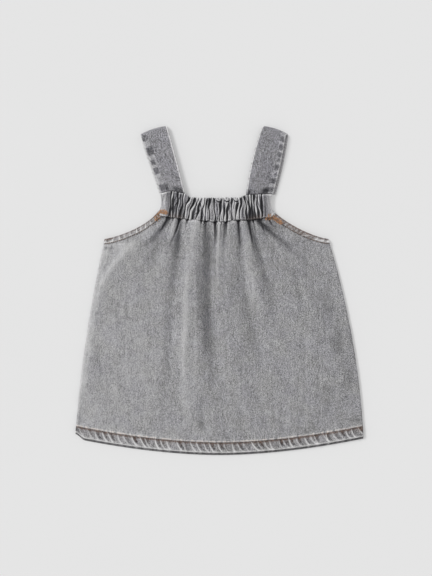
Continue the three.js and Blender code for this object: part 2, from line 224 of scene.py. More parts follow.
# The folds that hang from the gathers: from x and y, to x and y, how far the middle bows sideways, the half
# width at both ends, the rise, which is below zero for a trough, and 1 where it is highest halfway down
# rather than at its top
FOLDS = np.array([
    (-57, 270, -108, 216, 4, 3.2, 9, -3.2, 0),
    (-64, 258, -92, 205, 4, 4, 8, -1.3, 1),
    (-76, 262, -149, 140, -20, 4.5, 9, 1.6, 1),
    (-51, 267, -76, 190, 2, 3.4, 7, 0.9, 0),
    (-45.5, 268, -60, 168, 2, 3.6, 6.5, -3.3, 0),
    (-52, 235, -60, 110, 0, 4, 7, -1.0, 1),
    (-26.5, 267, -36, 190, -2, 5.2, 5.5, 1.2, 0),
    (-35, 245, -42, 48, -1, 4.5, 5.5, 1.6, 1),
    (-28, 150, -27, 60, 0, 5, 6, 0.8, 1),
    (-15, 267, -14, 200, 0, 4.5, 6, -2.0, 0),
    (-12, 266, -15, 176, -0.5, 6.5, 6.5, -2.2, 1),
    (-15, 235, -16, 95, 0, 5, 6, -2.4, 1),
    (-22, 236, -24, 140, 0, 4, 4.5, -1.7, 1),
    (-15, 200, -9, 50, 1, 6, 8, -1.4, 1),
    (-4, 264, -6, 220, 1.2, 1.7, 2.4, -2.2, 0),
    (-1, 256, -4, 160, 0, 2.2, 3.5, 1.3, 0),
    (7, 266, 4, 222, 0, 2.2, 2.6, -2.4, 0),
    (12, 236, 20, 150, 3, 8, 11, -0.9, 1),
    (22, 264, 24, 196, 1, 2.4, 6, -2.6, 0),
    (22, 222, 50, 84, -3, 4, 8, -1.4, 1),
    (29, 254, 48, 146, -1, 4, 8.5, 0.9, 1),
    (35, 264, 59, 174, 0, 3.6, 6, -3.2, 0),
    (44, 235, 66, 130, 2, 3.5, 8, -1.1, 1),
    (42, 268, 84, 244, 0, 2.8, 4.2, -1.6, 0),
    (46, 264, 118, 196, 5, 4, 10, -2.6, 0),
    (88, 206, 106, 148, 2, 3.5, 6, 1.1, 1),
    (112, 214, 132, 140, 3, 7, 10, -0.7, 1),
    (76, 224, 100, 150, 3, 4, 8, -0.8, 1),
    (134, 160, 140, 96, 0, 7, 9, -1.2, 1),
    (148, 112, 153, 66, 0, 5, 6, -1.0, 1),
    (120, 84, 130, 36, 0, 7, 9, -1.0, 1),
    (-140, 130, -138, 80, 0, 5, 7, -0.6, 1),
    (60, 190, 72, 90, 0, 4, 8, 0.6, 1),
    (-58, 185, -61, 60, 0, 5, 6, -1.1, 1),
    (-90, 165, -93, 70, 0, 5, 8, 0.6, 1),
    (8, 130, 12, 30, 0, 5, 8, 0.5, 1),
    (-22, 75, -20, 22, 0, 4, 5, -1.0, 1),
    (-37, 100, -34, 28, 0, 5, 8, 0.8, 1),
])

# Clouds of the wash on the front panel: x, y, half width, half height, and tone, which is below zero for a
# dark one. The dark ones at the top, just under the band and the armhole edges, are painted shade.
CLOUDS = np.array([
    (-104, 246, 14, 5, -0.2),
    (-107, 200, 7, 18, -0.15),
    (-91, 85, 8, 14, 0.15),
    (-59, 243, 7, 9, -0.25),
    (-48, 238, 9, 16, -0.2),
    (5, 70, 7, 14, -0.15),
    (38, 80, 8, 8, 0.2),
    (54, 116, 8, 8, -0.15),
    (94, 243, 12, 5, -0.3),
    (-2, 250, 9, 9, -0.2),
    (118, 232, 10, 8, 0.15),
    (131, 208, 7, 22, 0.2),
    (119, 170, 8, 14, -0.12),
    (61, 142, 7, 10, -0.18),
    (139, 128, 9, 12, -0.08),
    (110, 92, 12, 16, 0.18),
    (150, 84, 5, 12, -0.2),
    (56, 46, 8, 7, 0.3),
    (35, 42, 8, 8, -0.2),
    (-21, 33, 4, 7, -0.5),
    (158, 38.5, 5, 1.6, -0.7),
    (10, 60, 90, 60, -0.06),
])

# Where the straps' seams shade the front panel and the band: x and half width
PANEL_SHADES = ((-60, 13), (52, 14))
BAND_SHADES = ((-51, 10), (43, 10))

# Each strap: which way and how far its back half shows at the seam and at the fold, x of its seam, the folded
# end's two corners, the bow of its two edges, its outer edge's place across, and the dark squares of wear
# along its outer edge: place and half length as shares of its length, reach across in mm, and strength
STRAPS = {
    "left": {
        "peek": (-2.4, 0),
        "seam": (-66.8, -39.2),
        "fold": ((-90.9, 366.4), (-59.8, 376.3)),
        "bow": (0.4, 0.4),
        "outer": 0,
        "squares": (
            (0.95, 0.04, 6, 0.8),
            (0.72, 0.065, 8, 1.1),
            (0.535, 0.036, 5, 1),
            (0.38, 0.048, 6, 1.1),
            (0.085, 0.05, 10.5, 1.1),
        ),
    },
    "right": {
        "peek": (3.2, 3.4),
        "seam": (30.4, 61.6),
        "fold": ((48.8, 376.1), (76.5, 367)),
        "bow": (-2.4, 1.2),
        "outer": 1,
        "squares": (
            (0.93, 0.035, 6.5, 0.7),
            (0.8, 0.035, 5.6, 0.9),
            (0.67, 0.035, 6, 1),
            (0.575, 0.025, 5, 0.6),
            (0.455, 0.04, 6, 1.2),
            (0.335, 0.03, 5, 0.5),
            (0.225, 0.04, 6, 1.1),
            (0.08, 0.035, 12.5, 0.9),
        ),
    },
}


def mix(a, b, t):
    """a at t = 0, b at t = 1, and in a straight line between them."""
    return a + (b - a) * t


def smooth(t):
    """0 below t = 0 and 1 above t = 1, easing between them as 3 t^2 - 2 t^3."""
    t = np.clip(t, 0, 1)
    return t * t * (3 - 2 * t)


def bell(t):
    """A bell, exp(-t^2)."""
    return np.exp(-np.square(t))


def highest_bell(x, places):
    """At each x the highest of a few bells, each with a middle and a half width."""
    return np.maximum.reduce([bell((x - middle) / half) for middle, half in places])


def eased(rows, x):
    """The y of a table of x and y at any x, easing from each row to the next."""
    i = np.clip(np.searchsorted(rows[:, 0], x, side="right") - 1, 0, len(rows) - 2)
    t = (x - rows[i, 0]) / (rows[i + 1, 0] - rows[i, 0])
    return mix(rows[i, 1], rows[i + 1, 1], smooth(t))


def hem_line(x):
    """The hem's lower edge: its rise at the corners times a power of the share of the half width."""
    return HEM_RISE * np.abs(x / HEM_HALF) ** HEM_CURVE


def side_line(side, y):
    """The side seam's x: a straight line from the underarm to the hem's corner, bulged by a parabola."""
    t = (side["underarm"][1] - y) / (side["underarm"][1] - HEM_RISE)
    straight = mix(side["underarm"][0], side["sign"] * HEM_HALF, t)
    return straight + side["sign"] * side["bulge"] * 4 * t * (1 - t)


def armhole_point(side, t, inset):
    """A cubic Bezier curve from the underarm at t = 0 to the neckband at t = 1, moved inset inwards at right
    angles to itself, and down the side seam where it starts."""
    p = [np.array(q, float) for q in (side["underarm"], *side["armhole"])]
    t = np.asarray(t, float)[..., None]
    k = 1 - t
    point = k**3 * p[0] + 3 * k * k * t * p[1] + 3 * k * t * t * p[2] + t**3 * p[3]
    along = k * k * (p[1] - p[0]) + 2 * k * t * (p[2] - p[1]) + t * t * (p[3] - p[2])
    along = along / np.linalg.norm(along, axis=-1, keepdims=True)
    inwards = np.stack([along[..., 1], -along[..., 0]], -1) * -side["sign"]
    down = np.array([side_line(side, p[0][1] - ARM_BAND) - p[0][0], -ARM_BAND])
    inwards = mix(inwards, down / np.linalg.norm(down), 1 - smooth(t / 0.2))
    inwards = inwards / np.linalg.norm(inwards, axis=-1, keepdims=True)
    return point + inwards * np.asarray(inset, float)[..., None]


def panel_edge(side, v):
    """One side of a panel: up the side seam until UNDERARM_V, and then along the armhole."""
    inset = ARM_BAND + SEAM_GAP
    corner_y = armhole_point(side, 0.0, inset)[1]
    low = HEM_RISE + HEM_BAND
    y = mix(low, corner_y, np.clip(v / UNDERARM_V, 0, 1))
    seam = np.stack([side_line(side, y), y], -1)
    t = np.clip((v - UNDERARM_V) / (1 - UNDERARM_V), 0, 1)
    hole = armhole_point(side, t, np.full_like(t, inset - 0.25))
    return np.where((v < UNDERARM_V)[..., None], seam, hole)


def panel_plan(u, v):
    """x and y of both panels: rows run straight from side to side, and bend by a share of the way to the hem
    line at the bottom and to the neckband's seam at the top."""
    left, right = panel_edge(LEFT, v), panel_edge(RIGHT, v)
    zero, one = np.zeros_like(v), np.ones_like(v)
    hem_x = mix(panel_edge(LEFT, zero)[..., 0], panel_edge(RIGHT, zero)[..., 0], u)
    top_left, top_right = panel_edge(LEFT, one), panel_edge(RIGHT, one)
    top_x = mix(top_left[..., 0], top_right[..., 0], u)
    to_hem = hem_line(hem_x) - HEM_RISE
    to_seam = eased(NECK_BOTTOM, top_x) - mix(top_left[..., 1], top_right[..., 1], u)
    off_corner = smooth(np.minimum(u, 1 - u) / PANEL_CORNER)
    above = smooth((v - UNDERARM_V) / (1 - UNDERARM_V))
    x = mix(left[..., 0], right[..., 0], u)
    y = mix(left[..., 1], right[..., 1], u)
    y = y + to_hem * (1 - v) ** 2 + np.minimum(to_seam, to_seam * off_corner) * above
    return x, y


def fold_height(x, y):
    """The sum of the folds: each is a bell across its bowed middle line, widening on its way. It fades from
    its full rise at the top to nothing at its end, or swells and fades again as a sine's half wave."""
    total = np.zeros_like(x)
    for from_x, from_y, to_x, to_y, bow, narrow, wide, rise, swells in FOLDS:
        t = np.clip((from_y - y) / (from_y - to_y), 0, 1)
        middle = mix(from_x, to_x, t) + bow * 4 * t * (1 - t)
        strength = mix(1 - smooth(t), np.sin(np.pi * t) ** 1.3, swells)
        total += rise * strength * bell((x - middle) / mix(narrow, wide, t))
    return total


def seeded(count, seed):
    """Numbers from 0 to 1 that are the same each time."""
    return np.random.default_rng(seed).random(count)


def gather_form(x, below):
    """The small gathers under the neckband's seam, as two values from 0 to 1: how deep in a gap a point is,
    and how high on the bulge between two gaps. They fan out to the sides and fade over each gap's reach."""
    seam_x = x / (1 + 0.012 * np.maximum(below, 0) * np.abs(x) / 90)
    i = np.clip(np.searchsorted(GAPS[:, 0], seam_x) - 1, 0, len(GAPS) - 2)
    size = GAPS[i + 1, 0] - GAPS[i, 0]
    f = np.clip((seam_x - GAPS[i, 0]) / size, 0, 1)
    near = np.where(f < 0.5, i, i + 1)
    fade = np.exp(-((np.maximum(below, 0) / GAPS[near, 2]) ** 1.5))
    wide = 0.8 + 1.7 * np.exp(-np.maximum(below, 0) / 2.4)
    gap = GAPS[near, 1] * bell(np.minimum(f, 1 - f) * size / wide) * fade
    arch = np.sin(np.pi * f) ** 0.8 * smooth(size / 6) * np.exp(-np.maximum(below, 0) / 13)
    return gap, arch


def slack(x, y):
    """Slow unevenness of cloth that lies slack: five crossed sine waves of 40 to 130 mm, mostly upright."""
    waves = ((0.047, 0.012, 0.4), (0.081, -0.02, 2.1), (0.12, 0.03, 4.4), (0.03, 0.05, 1.2), (0.15, 0.01, 3))
    return sum(np.sin(a * x + b * y + c) / (1 + k) for k, (a, b, c) in enumerate(waves)) / 2.3


def front_surface(u, v):
    """Upper side of the front panel: lifted by the gathers, sunk in the seam under the band, folded, and
    lying on the back panel at its edges. A soft maximum, log(1 + exp), keeps it above its least height."""
    x, y = panel_plan(u, v)
    side = np.minimum(u, 1 - u)
    inside = smooth(side / 0.14)
    below = eased(NECK_BOTTOM, x) - y
    lift = NECK_LIFT * bell(below / NECK_LIFT_LENGTH) + BODY_PUFF
    dip = SEAM_DIP * bell(below / SEAM_DIP_LENGTH)
    near = smooth(side / 0.05)
    gap, arch = gather_form(x, below)
    gathers = 1.5 * arch - 2.2 * gap
    z = FRONT_LOW + CLOTH + inside * (lift - dip) + near * (fold_height(x, y) + gathers)
    z = z + 0.35 * inside * slack(x, y)
    return x, y, FRONT_LEAST + np.logaddexp(0, 2.5 * (z - FRONT_LEAST)) / 2.5


# Making meshes
def closed_wall(name, upper, lower, fade, cloth_u, cloth_v, turning=99, brown=0):
    """A closed mesh between an upper and a lower sheet of the same rows and columns, whose rims are joined by
    one strip of faces. fade, turning and brown are values at each point, cloth_u and cloth_v its place."""
    rows, columns = upper[0].shape
    points = np.concatenate([np.stack(s, -1).reshape(-1, 3) for s in (upper, lower)])
    grid = np.arange(rows * columns).reshape(rows, columns)
    a, b, c, d = grid[:-1, :-1], grid[:-1, 1:], grid[1:, 1:], grid[1:, :-1]
    top = np.stack([a, b, c, d], -1).reshape(-1, 4)
    bottom = top[:, ::-1] + rows * columns
    ring = np.concatenate([grid[0, :-1], grid[:-1, -1], grid[-1, :0:-1], grid[:0:-1, 0]])
    after = np.roll(ring, -1)
    rim = np.stack([ring, ring + rows * columns, after + rows * columns, after], -1)
    faces = np.concatenate([top, bottom, rim])

    def double(values):
        """The same values for both sheets."""
        return np.tile(np.broadcast_to(values, (rows, columns)).ravel(), 2)

    return make_mesh(name, points, faces, *map(double, (fade, cloth_u, cloth_v, turning, brown)))


def make_mesh(name, points, faces, fade, cloth_u, cloth_v, turning=None, brown=None):
    """A mesh object from whole arrays: points in pattern millimetres are moved onto the frame and scaled. The
    values at its points become attributes, and the place on the cloth its UV map, in metres."""
    points = (points + [0, PATTERN_BASE, 0]) * MM
    mesh = bpy.data.meshes.new(name)
    mesh.vertices.add(len(points))
    mesh.vertices.foreach_set("co", points.ravel())
    sides = faces.shape[1]
    mesh.loops.add(faces.size)
    mesh.loops.foreach_set("vertex_index", faces.ravel())
    mesh.polygons.add(len(faces))
    mesh.polygons.foreach_set("loop_start", np.arange(0, faces.size, sides))
    mesh.polygons.foreach_set("loop_total", np.full(len(faces), sides))
    mesh.polygons.foreach_set("use_smooth", np.ones(len(faces), bool))
    mesh.update(calc_edges=True)
    for label, values in (("fade", fade), ("turning", turning), ("brown", brown)):
        if values is not None:
            place = mesh.attributes.new(label, "FLOAT", "POINT")
            place.data.foreach_set("value", np.asarray(values, np.float32))
    layer = mesh.uv_layers.new(name="cloth")
    corners = faces.ravel()
    layer.data.foreach_set("uv", np.stack([cloth_u[corners], cloth_v[corners]], -1).ravel() * MM)
    obj = bpy.data.objects.new(name, mesh)
    bpy.context.scene.collection.objects.link(obj)
    return obj


def lined(columns, rows):
    """Two arrays of shares from 0 to 1: u along the columns and v along the rows."""
    return np.meshgrid(np.linspace(0, 1, columns), np.linspace(0, 1, rows))


def worn(x, y, z, gain, limit):
    """Painted light and shade from the surface's bend: pale on ridges and dark in hollows, as minus the
    height's second difference along each row of the grid, times gain.
    """
    step_u = np.hypot(np.gradient(x, axis=1), np.gradient(y, axis=1)) + 1e-6
    slope = np.gradient(z, axis=1) / step_u
    bend = np.gradient(slope, axis=1) / step_u
    return np.clip(-bend * gain, -limit, limit)


def puckers(s, v, length, pitch, seed, slant, curl, width):
    """Rope-like ridges across a turned edge, and the hollows between them. Each ridge starts at the
    stitching, at v = 1, slants sideways, and curls over towards the edge, at v = 0. A hollow lies behind it.
    Pitch, slant, reach, width and height differ from ridge to ridge, and the pitch narrows along the edge by
    a third."""
    count = int(length / pitch * 1.2) + 4
    wild = seeded((count, 8), seed) - 0.5
    k_all = np.arange(count) - 1.5
    place = pitch * (1.2 * k_all - 0.2 * k_all * k_all / count) + 0.55 * wild[:, 0] * pitch
    ridges, hollows = np.zeros_like(s), np.zeros_like(s)
    for k in range(count):
        shift = slant * (1 + wild[k, 1]) * (1 - v) + curl * (1 + wild[k, 2]) * (1 - v) ** 3
        reach = smooth((v - 0.12 * (wild[k, 3] + 0.3)) / 0.1) * smooth((1.05 - v) / 0.1)
        wide = width * (1 + 0.7 * wild[k, 4]) * (1 + 1.5 * (1 - v) ** 2)
        ridges += (0.85 + 0.8 * wild[k, 5]) * reach * bell((s - place[k] - shift) / wide)
        low = 0.25 + 0.25 * wild[k, 6]
        tall = smooth((v - low) / 0.18) * smooth((0.98 - v) / 0.1)
        middle = place[k] + (0.42 + 0.15 * wild[k, 7]) * pitch
        deep = (0.8 + 0.8 * wild[k, 3]) * tall
        hollows += deep * bell(np.abs((s - middle - shift) / (pitch * (0.24 + 0.1 * wild[k, 2]))) ** 1.7)
    return ridges, hollows


# The two panels
def side_wear(x, y):
    """Pale wear along the left side: a strip over the seam allowance, whose inner edge waves by two sines and
    which fades towards the hem, and a bell along the rubbed edge itself."""
    left = x - side_line(LEFT, y)
    allowance = SIDE_ALLOWANCE + 0.9 * np.sin(0.23 * y) + 0.6 * np.sin(0.61 * y + 1)
    strip = smooth((allowance - left) / 1.8) * smooth((y - 30) / 60)
    return 0.42 * strip + 0.3 * bell((left - 0.8) / 1.2)


def wash(x, y):
    """The clouds of the wash, and the painted shade just under the band: the sum of each one's tone times a
    bell across and a bell up and down.
    """
    total = np.zeros_like(x)
    for cloud_x, cloud_y, wide, high, tone in CLOUDS:
        total += tone * bell((x - cloud_x) / wide) * bell((y - cloud_y) / high)
    return total


def gather_shading(x, below, gap, arch, near):
    """Painted light and shade under the band: painted shade in the seam, of ragged height, and in the gaps,
    painted highlight on the tops of the bulges except where the straps' seams shade them, painted shade
    beside the straps and near the band's two ends, and two crumples whose painted shade is a product of
    sines."""
    ragged = 1.1 + 0.5 * np.sin(x * 0.8) ** 2 + 1.5 * gap
    top = bell((below - 1.6 - 0.9 * np.sin(x * 0.33 + 1)) / 1.3) * (1 - np.clip(1.3 * gap, 0, 1))
    shaded = highest_bell(x, PANEL_SHADES)
    wear = near * (1.1 * arch * top * (1 - shaded) - 1.2 * bell(below / ragged) - 1.1 * gap)
    wear -= 0.6 * shaded * bell((below - 0.5) / 3.5)
    wear -= 0.5 * bell((x + 68) / 12) * bell((below + 0.6 * (x + 68)) / 14)
    wear -= 0.5 * bell((x - 58) / 20) * bell((below - 7) / 12)
    crumple = bell((x - 1.6) / 4.6) * bell((below - 3) / 2.2) + bell((x + 18.2) / 3) * bell((below - 3.5) / 3)
    marks = 0.45 + 1.5 * np.sin(x * 1.9 + 1.5 * np.sin(below)) * np.sin(below * 1.4 + 1)
    return wear - 1.5 * crumple * marks


def underarm_wear(x, y):
    """Two dark dashes at the left underarm, each a bell both ways, and a soft pale patch beside them."""
    dashes = bell((x + 130.3) / 2) + 0.7 * bell((x + 124.6) / 2)
    corner_x, corner_y = armhole_point(LEFT, 0.15, 0.0)
    patch = bell((x - corner_x - 6) / 24) * bell((y - corner_y + 12) / 9)
    return 0.4 * patch - 1.5 * dashes * bell((y - 236) / 1.8)


def make_front_panel():
    """The front panel's upper side as worked out above, over an underside one cloth lower, with its rows
    closest at the hem and under the band. It has painted highlight on ridges and painted shade in its folds,
    is painted paler to the left, where the light comes from, and has the wear and painted shade worked out
    above. turning is the height above the hem's stitching, where brown lint of its thread lies."""
    u, v = lined(240, 200)
    v = v - 0.7 * np.sin(2 * np.pi * v) / (2 * np.pi)
    x, y, z = front_surface(u, v)
    side = np.minimum(x - side_line(LEFT, y), side_line(RIGHT, y) - x)
    skirt = v < UNDERARM_V
    turning = y - hem_line(x) - HEM_BAND
    below = eased(NECK_BOTTOM, x) - y
    near = smooth(np.minimum(u, 1 - u) / 0.05)
    edge = np.where(skirt, smooth(side / 1.5), 1)
    gap, arch = gather_form(x, below)
    # painted light and shade: pale on the surface's ridges and the folds' crests, dark in their troughs, and
    # paler to the left, where the light comes from
    fade = worn(x, y, z, 0.8, 0.45) + 0.33 * np.clip(fold_height(x, y) * near, -2.8, 1.7) - 0.0012 * x
    # clouds of the wash, with painted shade just under the band, and wear along the left side and at the left
    # underarm
    fade += wash(x, y) + skirt * side_wear(x, y) + underarm_wear(x, y)
    # painted shade and highlight of the gathers under the band
    fade += gather_shading(x, below, gap, arch, near)
    # painted shade where the panel meets the hem's upper edge
    fade -= 0.7 * bell((turning - 0.2) / 0.5)
    brown = 0.6 * bell((turning - 0.1) / 0.5) * (0.6 + 0.4 * np.sin(x * 2.1))
    upper, lower = (x, y, z - 0.7 * (1 - edge)), (x, y, z - CLOTH)
    return closed_wall("front_panel_cloth", upper, lower, fade, x, y, turning, brown)


def make_back_panel():
    """The back panel: flat underneath, thicker along its side seams, shallow gathers on its upper side."""
    u, v = lined(110, 110)
    x, y = panel_plan(u, v)
    side = np.minimum(x - side_line(LEFT, y), side_line(RIGHT, y) - x)
    allowance = (TURNED - CLOTH) * (1 - smooth((side - SIDE_ALLOWANCE) / 3))
    groove = np.clip(-0.3 * fold_height(-x - 8, y) - 0.1, 0, 0.6)
    # painted shade in the gathers' grooves, over a slow uneven tone
    fade = np.clip(0.25 * slack(x, y) - groove, -0.6, 0.6)
    return closed_wall("back_panel_cloth", (x, y, CLOTH + groove + allowance), (x, y, groove), fade, x, y)


# The neckband
def neck_plan(c, v):
    """x and y of the band at pleat count c and share v of its height, its short ends bowed inwards."""
    count = len(PLEATS)
    i = np.clip(np.floor(c).astype(int), 0, count - 2)
    from_end = np.minimum(c, count - 1 - c)
    bow = NECK_END_BOW * np.clip(1 - from_end, 0, None) * 4 * v * (1 - v) * np.where(c < 1, 1, -1)
    turn = 2 * np.pi * seeded(count, 8)
    sway = mix(np.sin(turn[i] + 5 * v), np.sin(turn[i + 1] + 5 * v), smooth(c - i))
    sway = (0.9 * sway + 0.35 * np.sin(11 * v + 2.1 * c)) * 4 * v * (1 - v) * smooth(from_end / 2)
    bottom = mix(PLEATS[i, 0], PLEATS[i + 1, 0], c - i)
    top = mix(PLEATS[i, 1], PLEATS[i + 1, 1], c - i)
    x = mix(bottom, top, v) + bow + sway
    return x, mix(eased(NECK_BOTTOM, x), eased(NECK_TOP, x), v)


def pleat_form(c, v):
    """Depth of the valleys and the painted highlight beside them at pleat count c and share v of the band's
    height. Each valley is a bell whose depth and width change along it, and its two lips get unequal painted
    highlight."""
    count = len(PLEATS)
    i = np.clip(np.floor(c).astype(int), 0, count - 2)
    f = c - i
    width = mix(PLEATS[i + 1, 0] - PLEATS[i, 0], PLEATS[i + 1, 1] - PLEATS[i, 1], v)
    j = np.where(f < 0.5, i, i + 1)
    distance = np.minimum(f, 1 - f) * width
    turn, swing = 2 * np.pi * seeded(count, 3)[j], 2.5 + 4 * seeded(count, 4)[j]
    wide = 1.15 + 0.55 * np.sin(turn + swing * v)
    deep = PLEATS[j, 2] * (0.8 + 0.3 * np.sin(turn + 1 + swing * v))
    lip = np.where(f < 0.5, seeded(count, 9)[j], seeded(count, 10)[j])
    lip_highlight = (0.6 + lip) * bell((distance - wide - 0.5) / 0.5) * smooth(PLEATS[j, 2] * 4)
    return deep * bell(distance / wide), lip_highlight, np.sqrt(np.clip(4 * f * (1 - f), 0, 1))


def crease_form(x, v):
    """Depth of the creases and the painted highlight beside them: each is a narrow bell along its own line,
    fading at both ends, with a painted highlight on the lip on one side."""
    depth, lip_highlight = np.zeros_like(x), np.zeros_like(x)
    for k, (from_x, from_v, to_x, to_v, deep) in enumerate(CREASES):
        t = (from_v - v) / (from_v - to_v)
        along = deep * smooth((t + 0.1) / 0.3) * smooth((1.1 - t) / 0.3)
        off = x - mix(from_x, to_x, np.clip(t, 0, 1))
        depth += along * bell(off / 0.65)
        lip_highlight += along * bell((off + (1.15 if k % 2 else -1.15)) / 0.45)
    return depth, lip_highlight


def neck_low(x):
    """Underside of the front band: low at its flat ends and lifted where it is gathered."""
    from_end = np.minimum(x - NECK_TOP[0, 0], NECK_TOP[-1, 0] - x)
    return mix(NECK_END_LOW, NECK_MID_LOW, smooth(from_end / NECK_END_FLAT))


def band_seam(x, from_bottom):
    """How much painted shade lies in the band's lower seam: a bell whose height waves along it, and specks
    above it, which are the high parts of a product of sines."""
    seam = 0.8 + 0.6 * np.sin(x * 1.3) * np.sin(x * 0.57 + 2)
    specks = np.sin(x * 2.3 + 2 * np.sin(x * 0.9)) * np.sin(from_bottom * 1.9 + x)
    return 2.2 * bell(from_bottom / seam) + 1.4 * np.clip(specks - 0.15, 0, 1) * bell((from_bottom - 2) / 2.3)


def loops(x, from_top):
    """The stitched loops at the band's upper edge: along a parabola that hangs like a smile, a ridge over a
    groove. Puts out the relief, how much of the tone around is kept, and the loops' own painted light: a
    painted shadow in the groove under a painted highlight on the ridge, and a pale rim below it."""
    relief, kept, marks = np.zeros_like(x), np.ones_like(x), np.zeros_like(x)
    for loop_x in NECK_LOOPS:
        smile = from_top - 4.6 + 1.3 * ((x - loop_x) / 2.4) ** 2
        inside = smooth((3.0 - np.abs(x - loop_x)) / 0.6)
        relief += inside * (0.6 * bell((smile + 1.7) / 0.9) - 0.9 * bell(smile / 0.7))
        kept *= 1 - inside * bell((smile + 1) / 1.8)
        rims = 1.3 * bell((smile + 1.6) / 0.8) + 0.8 * bell((smile - 1.3) / 0.5)
        marks += inside * (rims - 2.4 * bell(smile / 0.7))
    return relief, kept, marks


def make_neckband(front):
    """A gathered band: pleats and creases over a plain inside, rounded over at its upper edge and drawn in
    at its lower one, with crests that push past both edges as lobes. It has near black painted shade in the
    valleys, painted highlight along their lips, and is pale at its flat ends. It has painted shadow under
    both straps and painted shade in its lower seam, which is specked, with brown lint. Its upper edge has
    three stitched loops."""
    count = len(PLEATS)
    steps, rows = (22, 72) if front else (10, 12)
    c, v = np.meshgrid(np.linspace(0, count - 1, steps * (count - 1) + 1), np.linspace(0, 1, rows))
    x, y = neck_plan(c, v)
    i = np.clip(np.floor(c).astype(int), 0, count - 2)
    valley, lips, arch = pleat_form(c, v)
    crease, crease_lip = crease_form(x, v)
    flat_end = np.where(c < 1, 1 - smooth(c), smooth(c - (count - 2)))
    pleated = 1 - flat_end
    width = PLEATS[i + 1, 0] - PLEATS[i, 0]
    crest = PLEAT_RISE + PLEAT_RISE_BY_WIDTH * np.minimum(width, 9)
    size = eased(NECK_TOP, x) - eased(NECK_BOTTOM, x)
    from_top, from_bottom = (1 - v) * size, v * size
    form = np.clip(mix(0.72, 1, arch) - 0.85 * valley - 0.4 * crease, 0, 1)
    thick = mix(PLEAT_VALLEY + crest * form, NECK_END_THICK - 0.5 * crease, flat_end)
    rounded = np.sqrt(1 - (1 - np.clip(from_top / 2.4, 0, 1)) ** 2)
    drawn = mix(0.45, 1, np.sqrt(smooth(from_bottom / 3.6)))
    thick = 0.7 + (thick - 0.7) * rounded * mix(drawn, 1, flat_end)
    lobe = (arch - 0.55) * (0.5 + seeded(count, 6)[i]) * pleated
    y = y + lobe * (1.3 * bell(from_top / 2.5) - 2.6 * bell(from_bottom / 3.5))
    low = neck_low(x)
    body = (0.9 * (seeded(count, 12)[i] - 0.5) * arch - 0.24) * pleated
    body = body + (0.62 + 0.3 * np.sin(x * 1.9 + 0.25 * y)) * flat_end
    # near black painted shade in the valleys and the creases
    fade = body - 3.0 * np.clip(valley - 0.08, 0, 1) - 1.8 * crease
    # painted highlight along the lips of the valleys and the creases
    fade += (1.9 * lips + 1.5 * crease_lip) * (1 - 0.8 * np.clip(valley, 0, 1))
    tops, ends = 0.2 + 1.3 * seeded(count, 14)[i], 0.2 + 1.3 * seeded(count, 15)[i]
    rims = tops * bell((from_top - 0.8) / 0.8) + ends * arch * bell((from_bottom - 1.4) / 0.8)
    fade += rims * (1 - valley)
    # painted shade in the lower seam, broken by specks
    fade -= band_seam(x, from_bottom) * pleated
    # painted shadow of the straps on the band
    under_straps = highest_bell(x, BAND_SHADES) * pleated
    fade -= 1.25 * under_straps * (0.55 + 0.45 * smooth(v / 0.3))
    brown = 0.5 * under_straps * bell((from_bottom - 1) / 2.5)
    relief, kept, marks = loops(x, from_top)
    # the loops' painted shadow and highlight
    thick, fade = thick + relief, fade * kept + marks
    if front:
        name, upper, lower = "neckband_front_cloth", low + thick, low
    else:
        name, upper, lower = "neckband_back_cloth", low - SEAM_GAP, 1.2 * np.clip(valley, 0, 1)
    return closed_wall(name, (x, y, upper), (x, y, lower), fade, x * 1.7, y, brown=brown)


# The turned hem and armhole edges
def hem_wear_and_shade(s, v, ridge, hollow, front):
    """A hem's wear, painted shade and its brown lint. Ridges and the lower rim are pale, and hollows dark, by
    shares that wave along the hem. The stitching's groove has painted shade, and the back hem is painted dark
    as the shade under the front one. Lint lies in the groove, in the hollows and at the right end."""
    mottle = 0.7 + 0.5 * np.sin(s * 1.7 + 2 * v) * np.sin(v * 17 + s * 0.6)
    strong = 1 + 0.55 * np.sin(s * 0.21 + 1.3 * np.sin(s * 0.063))
    fade = 1.6 * ridge - 1.25 * strong * mottle * hollow * (1 - np.clip(ridge, 0, 1))
    fade -= 0.02 + 0.23 * smooth(s / 260)
    fade += (0.35 + 0.2 * np.sin(s * 0.9 + 2 * np.sin(s * 0.21))) * (1 - smooth((v - 0.1) / 0.2))
    fade += 1.1 * bell((v * HEM_BAND - 1.1) / 0.7)
    # painted shade in the stitching's groove, and a dark patch at the left end
    fade -= 0.6 * bell((v - 0.93) / 0.09) + 0.8 * bell(s / 5) * smooth(v / 0.5)
    # the back hem is painted dark, as the shade under the front hem's edge
    fade -= 0 if front else 1.15
    row = 0.75 + 0.25 * np.sin(s * 2.6 + 2 * np.sin(s * 0.7))
    brown = 0.8 * row * bell((v - 0.92) / 0.1) + 0.35 * strong * hollow * smooth((v - 0.4) / 0.3)
    brown = np.maximum(brown, 0.8 * bell((s - 2 * HEM_HALF + 3) / 4) * smooth((v - 0.45) / 0.3))
    return fade, brown


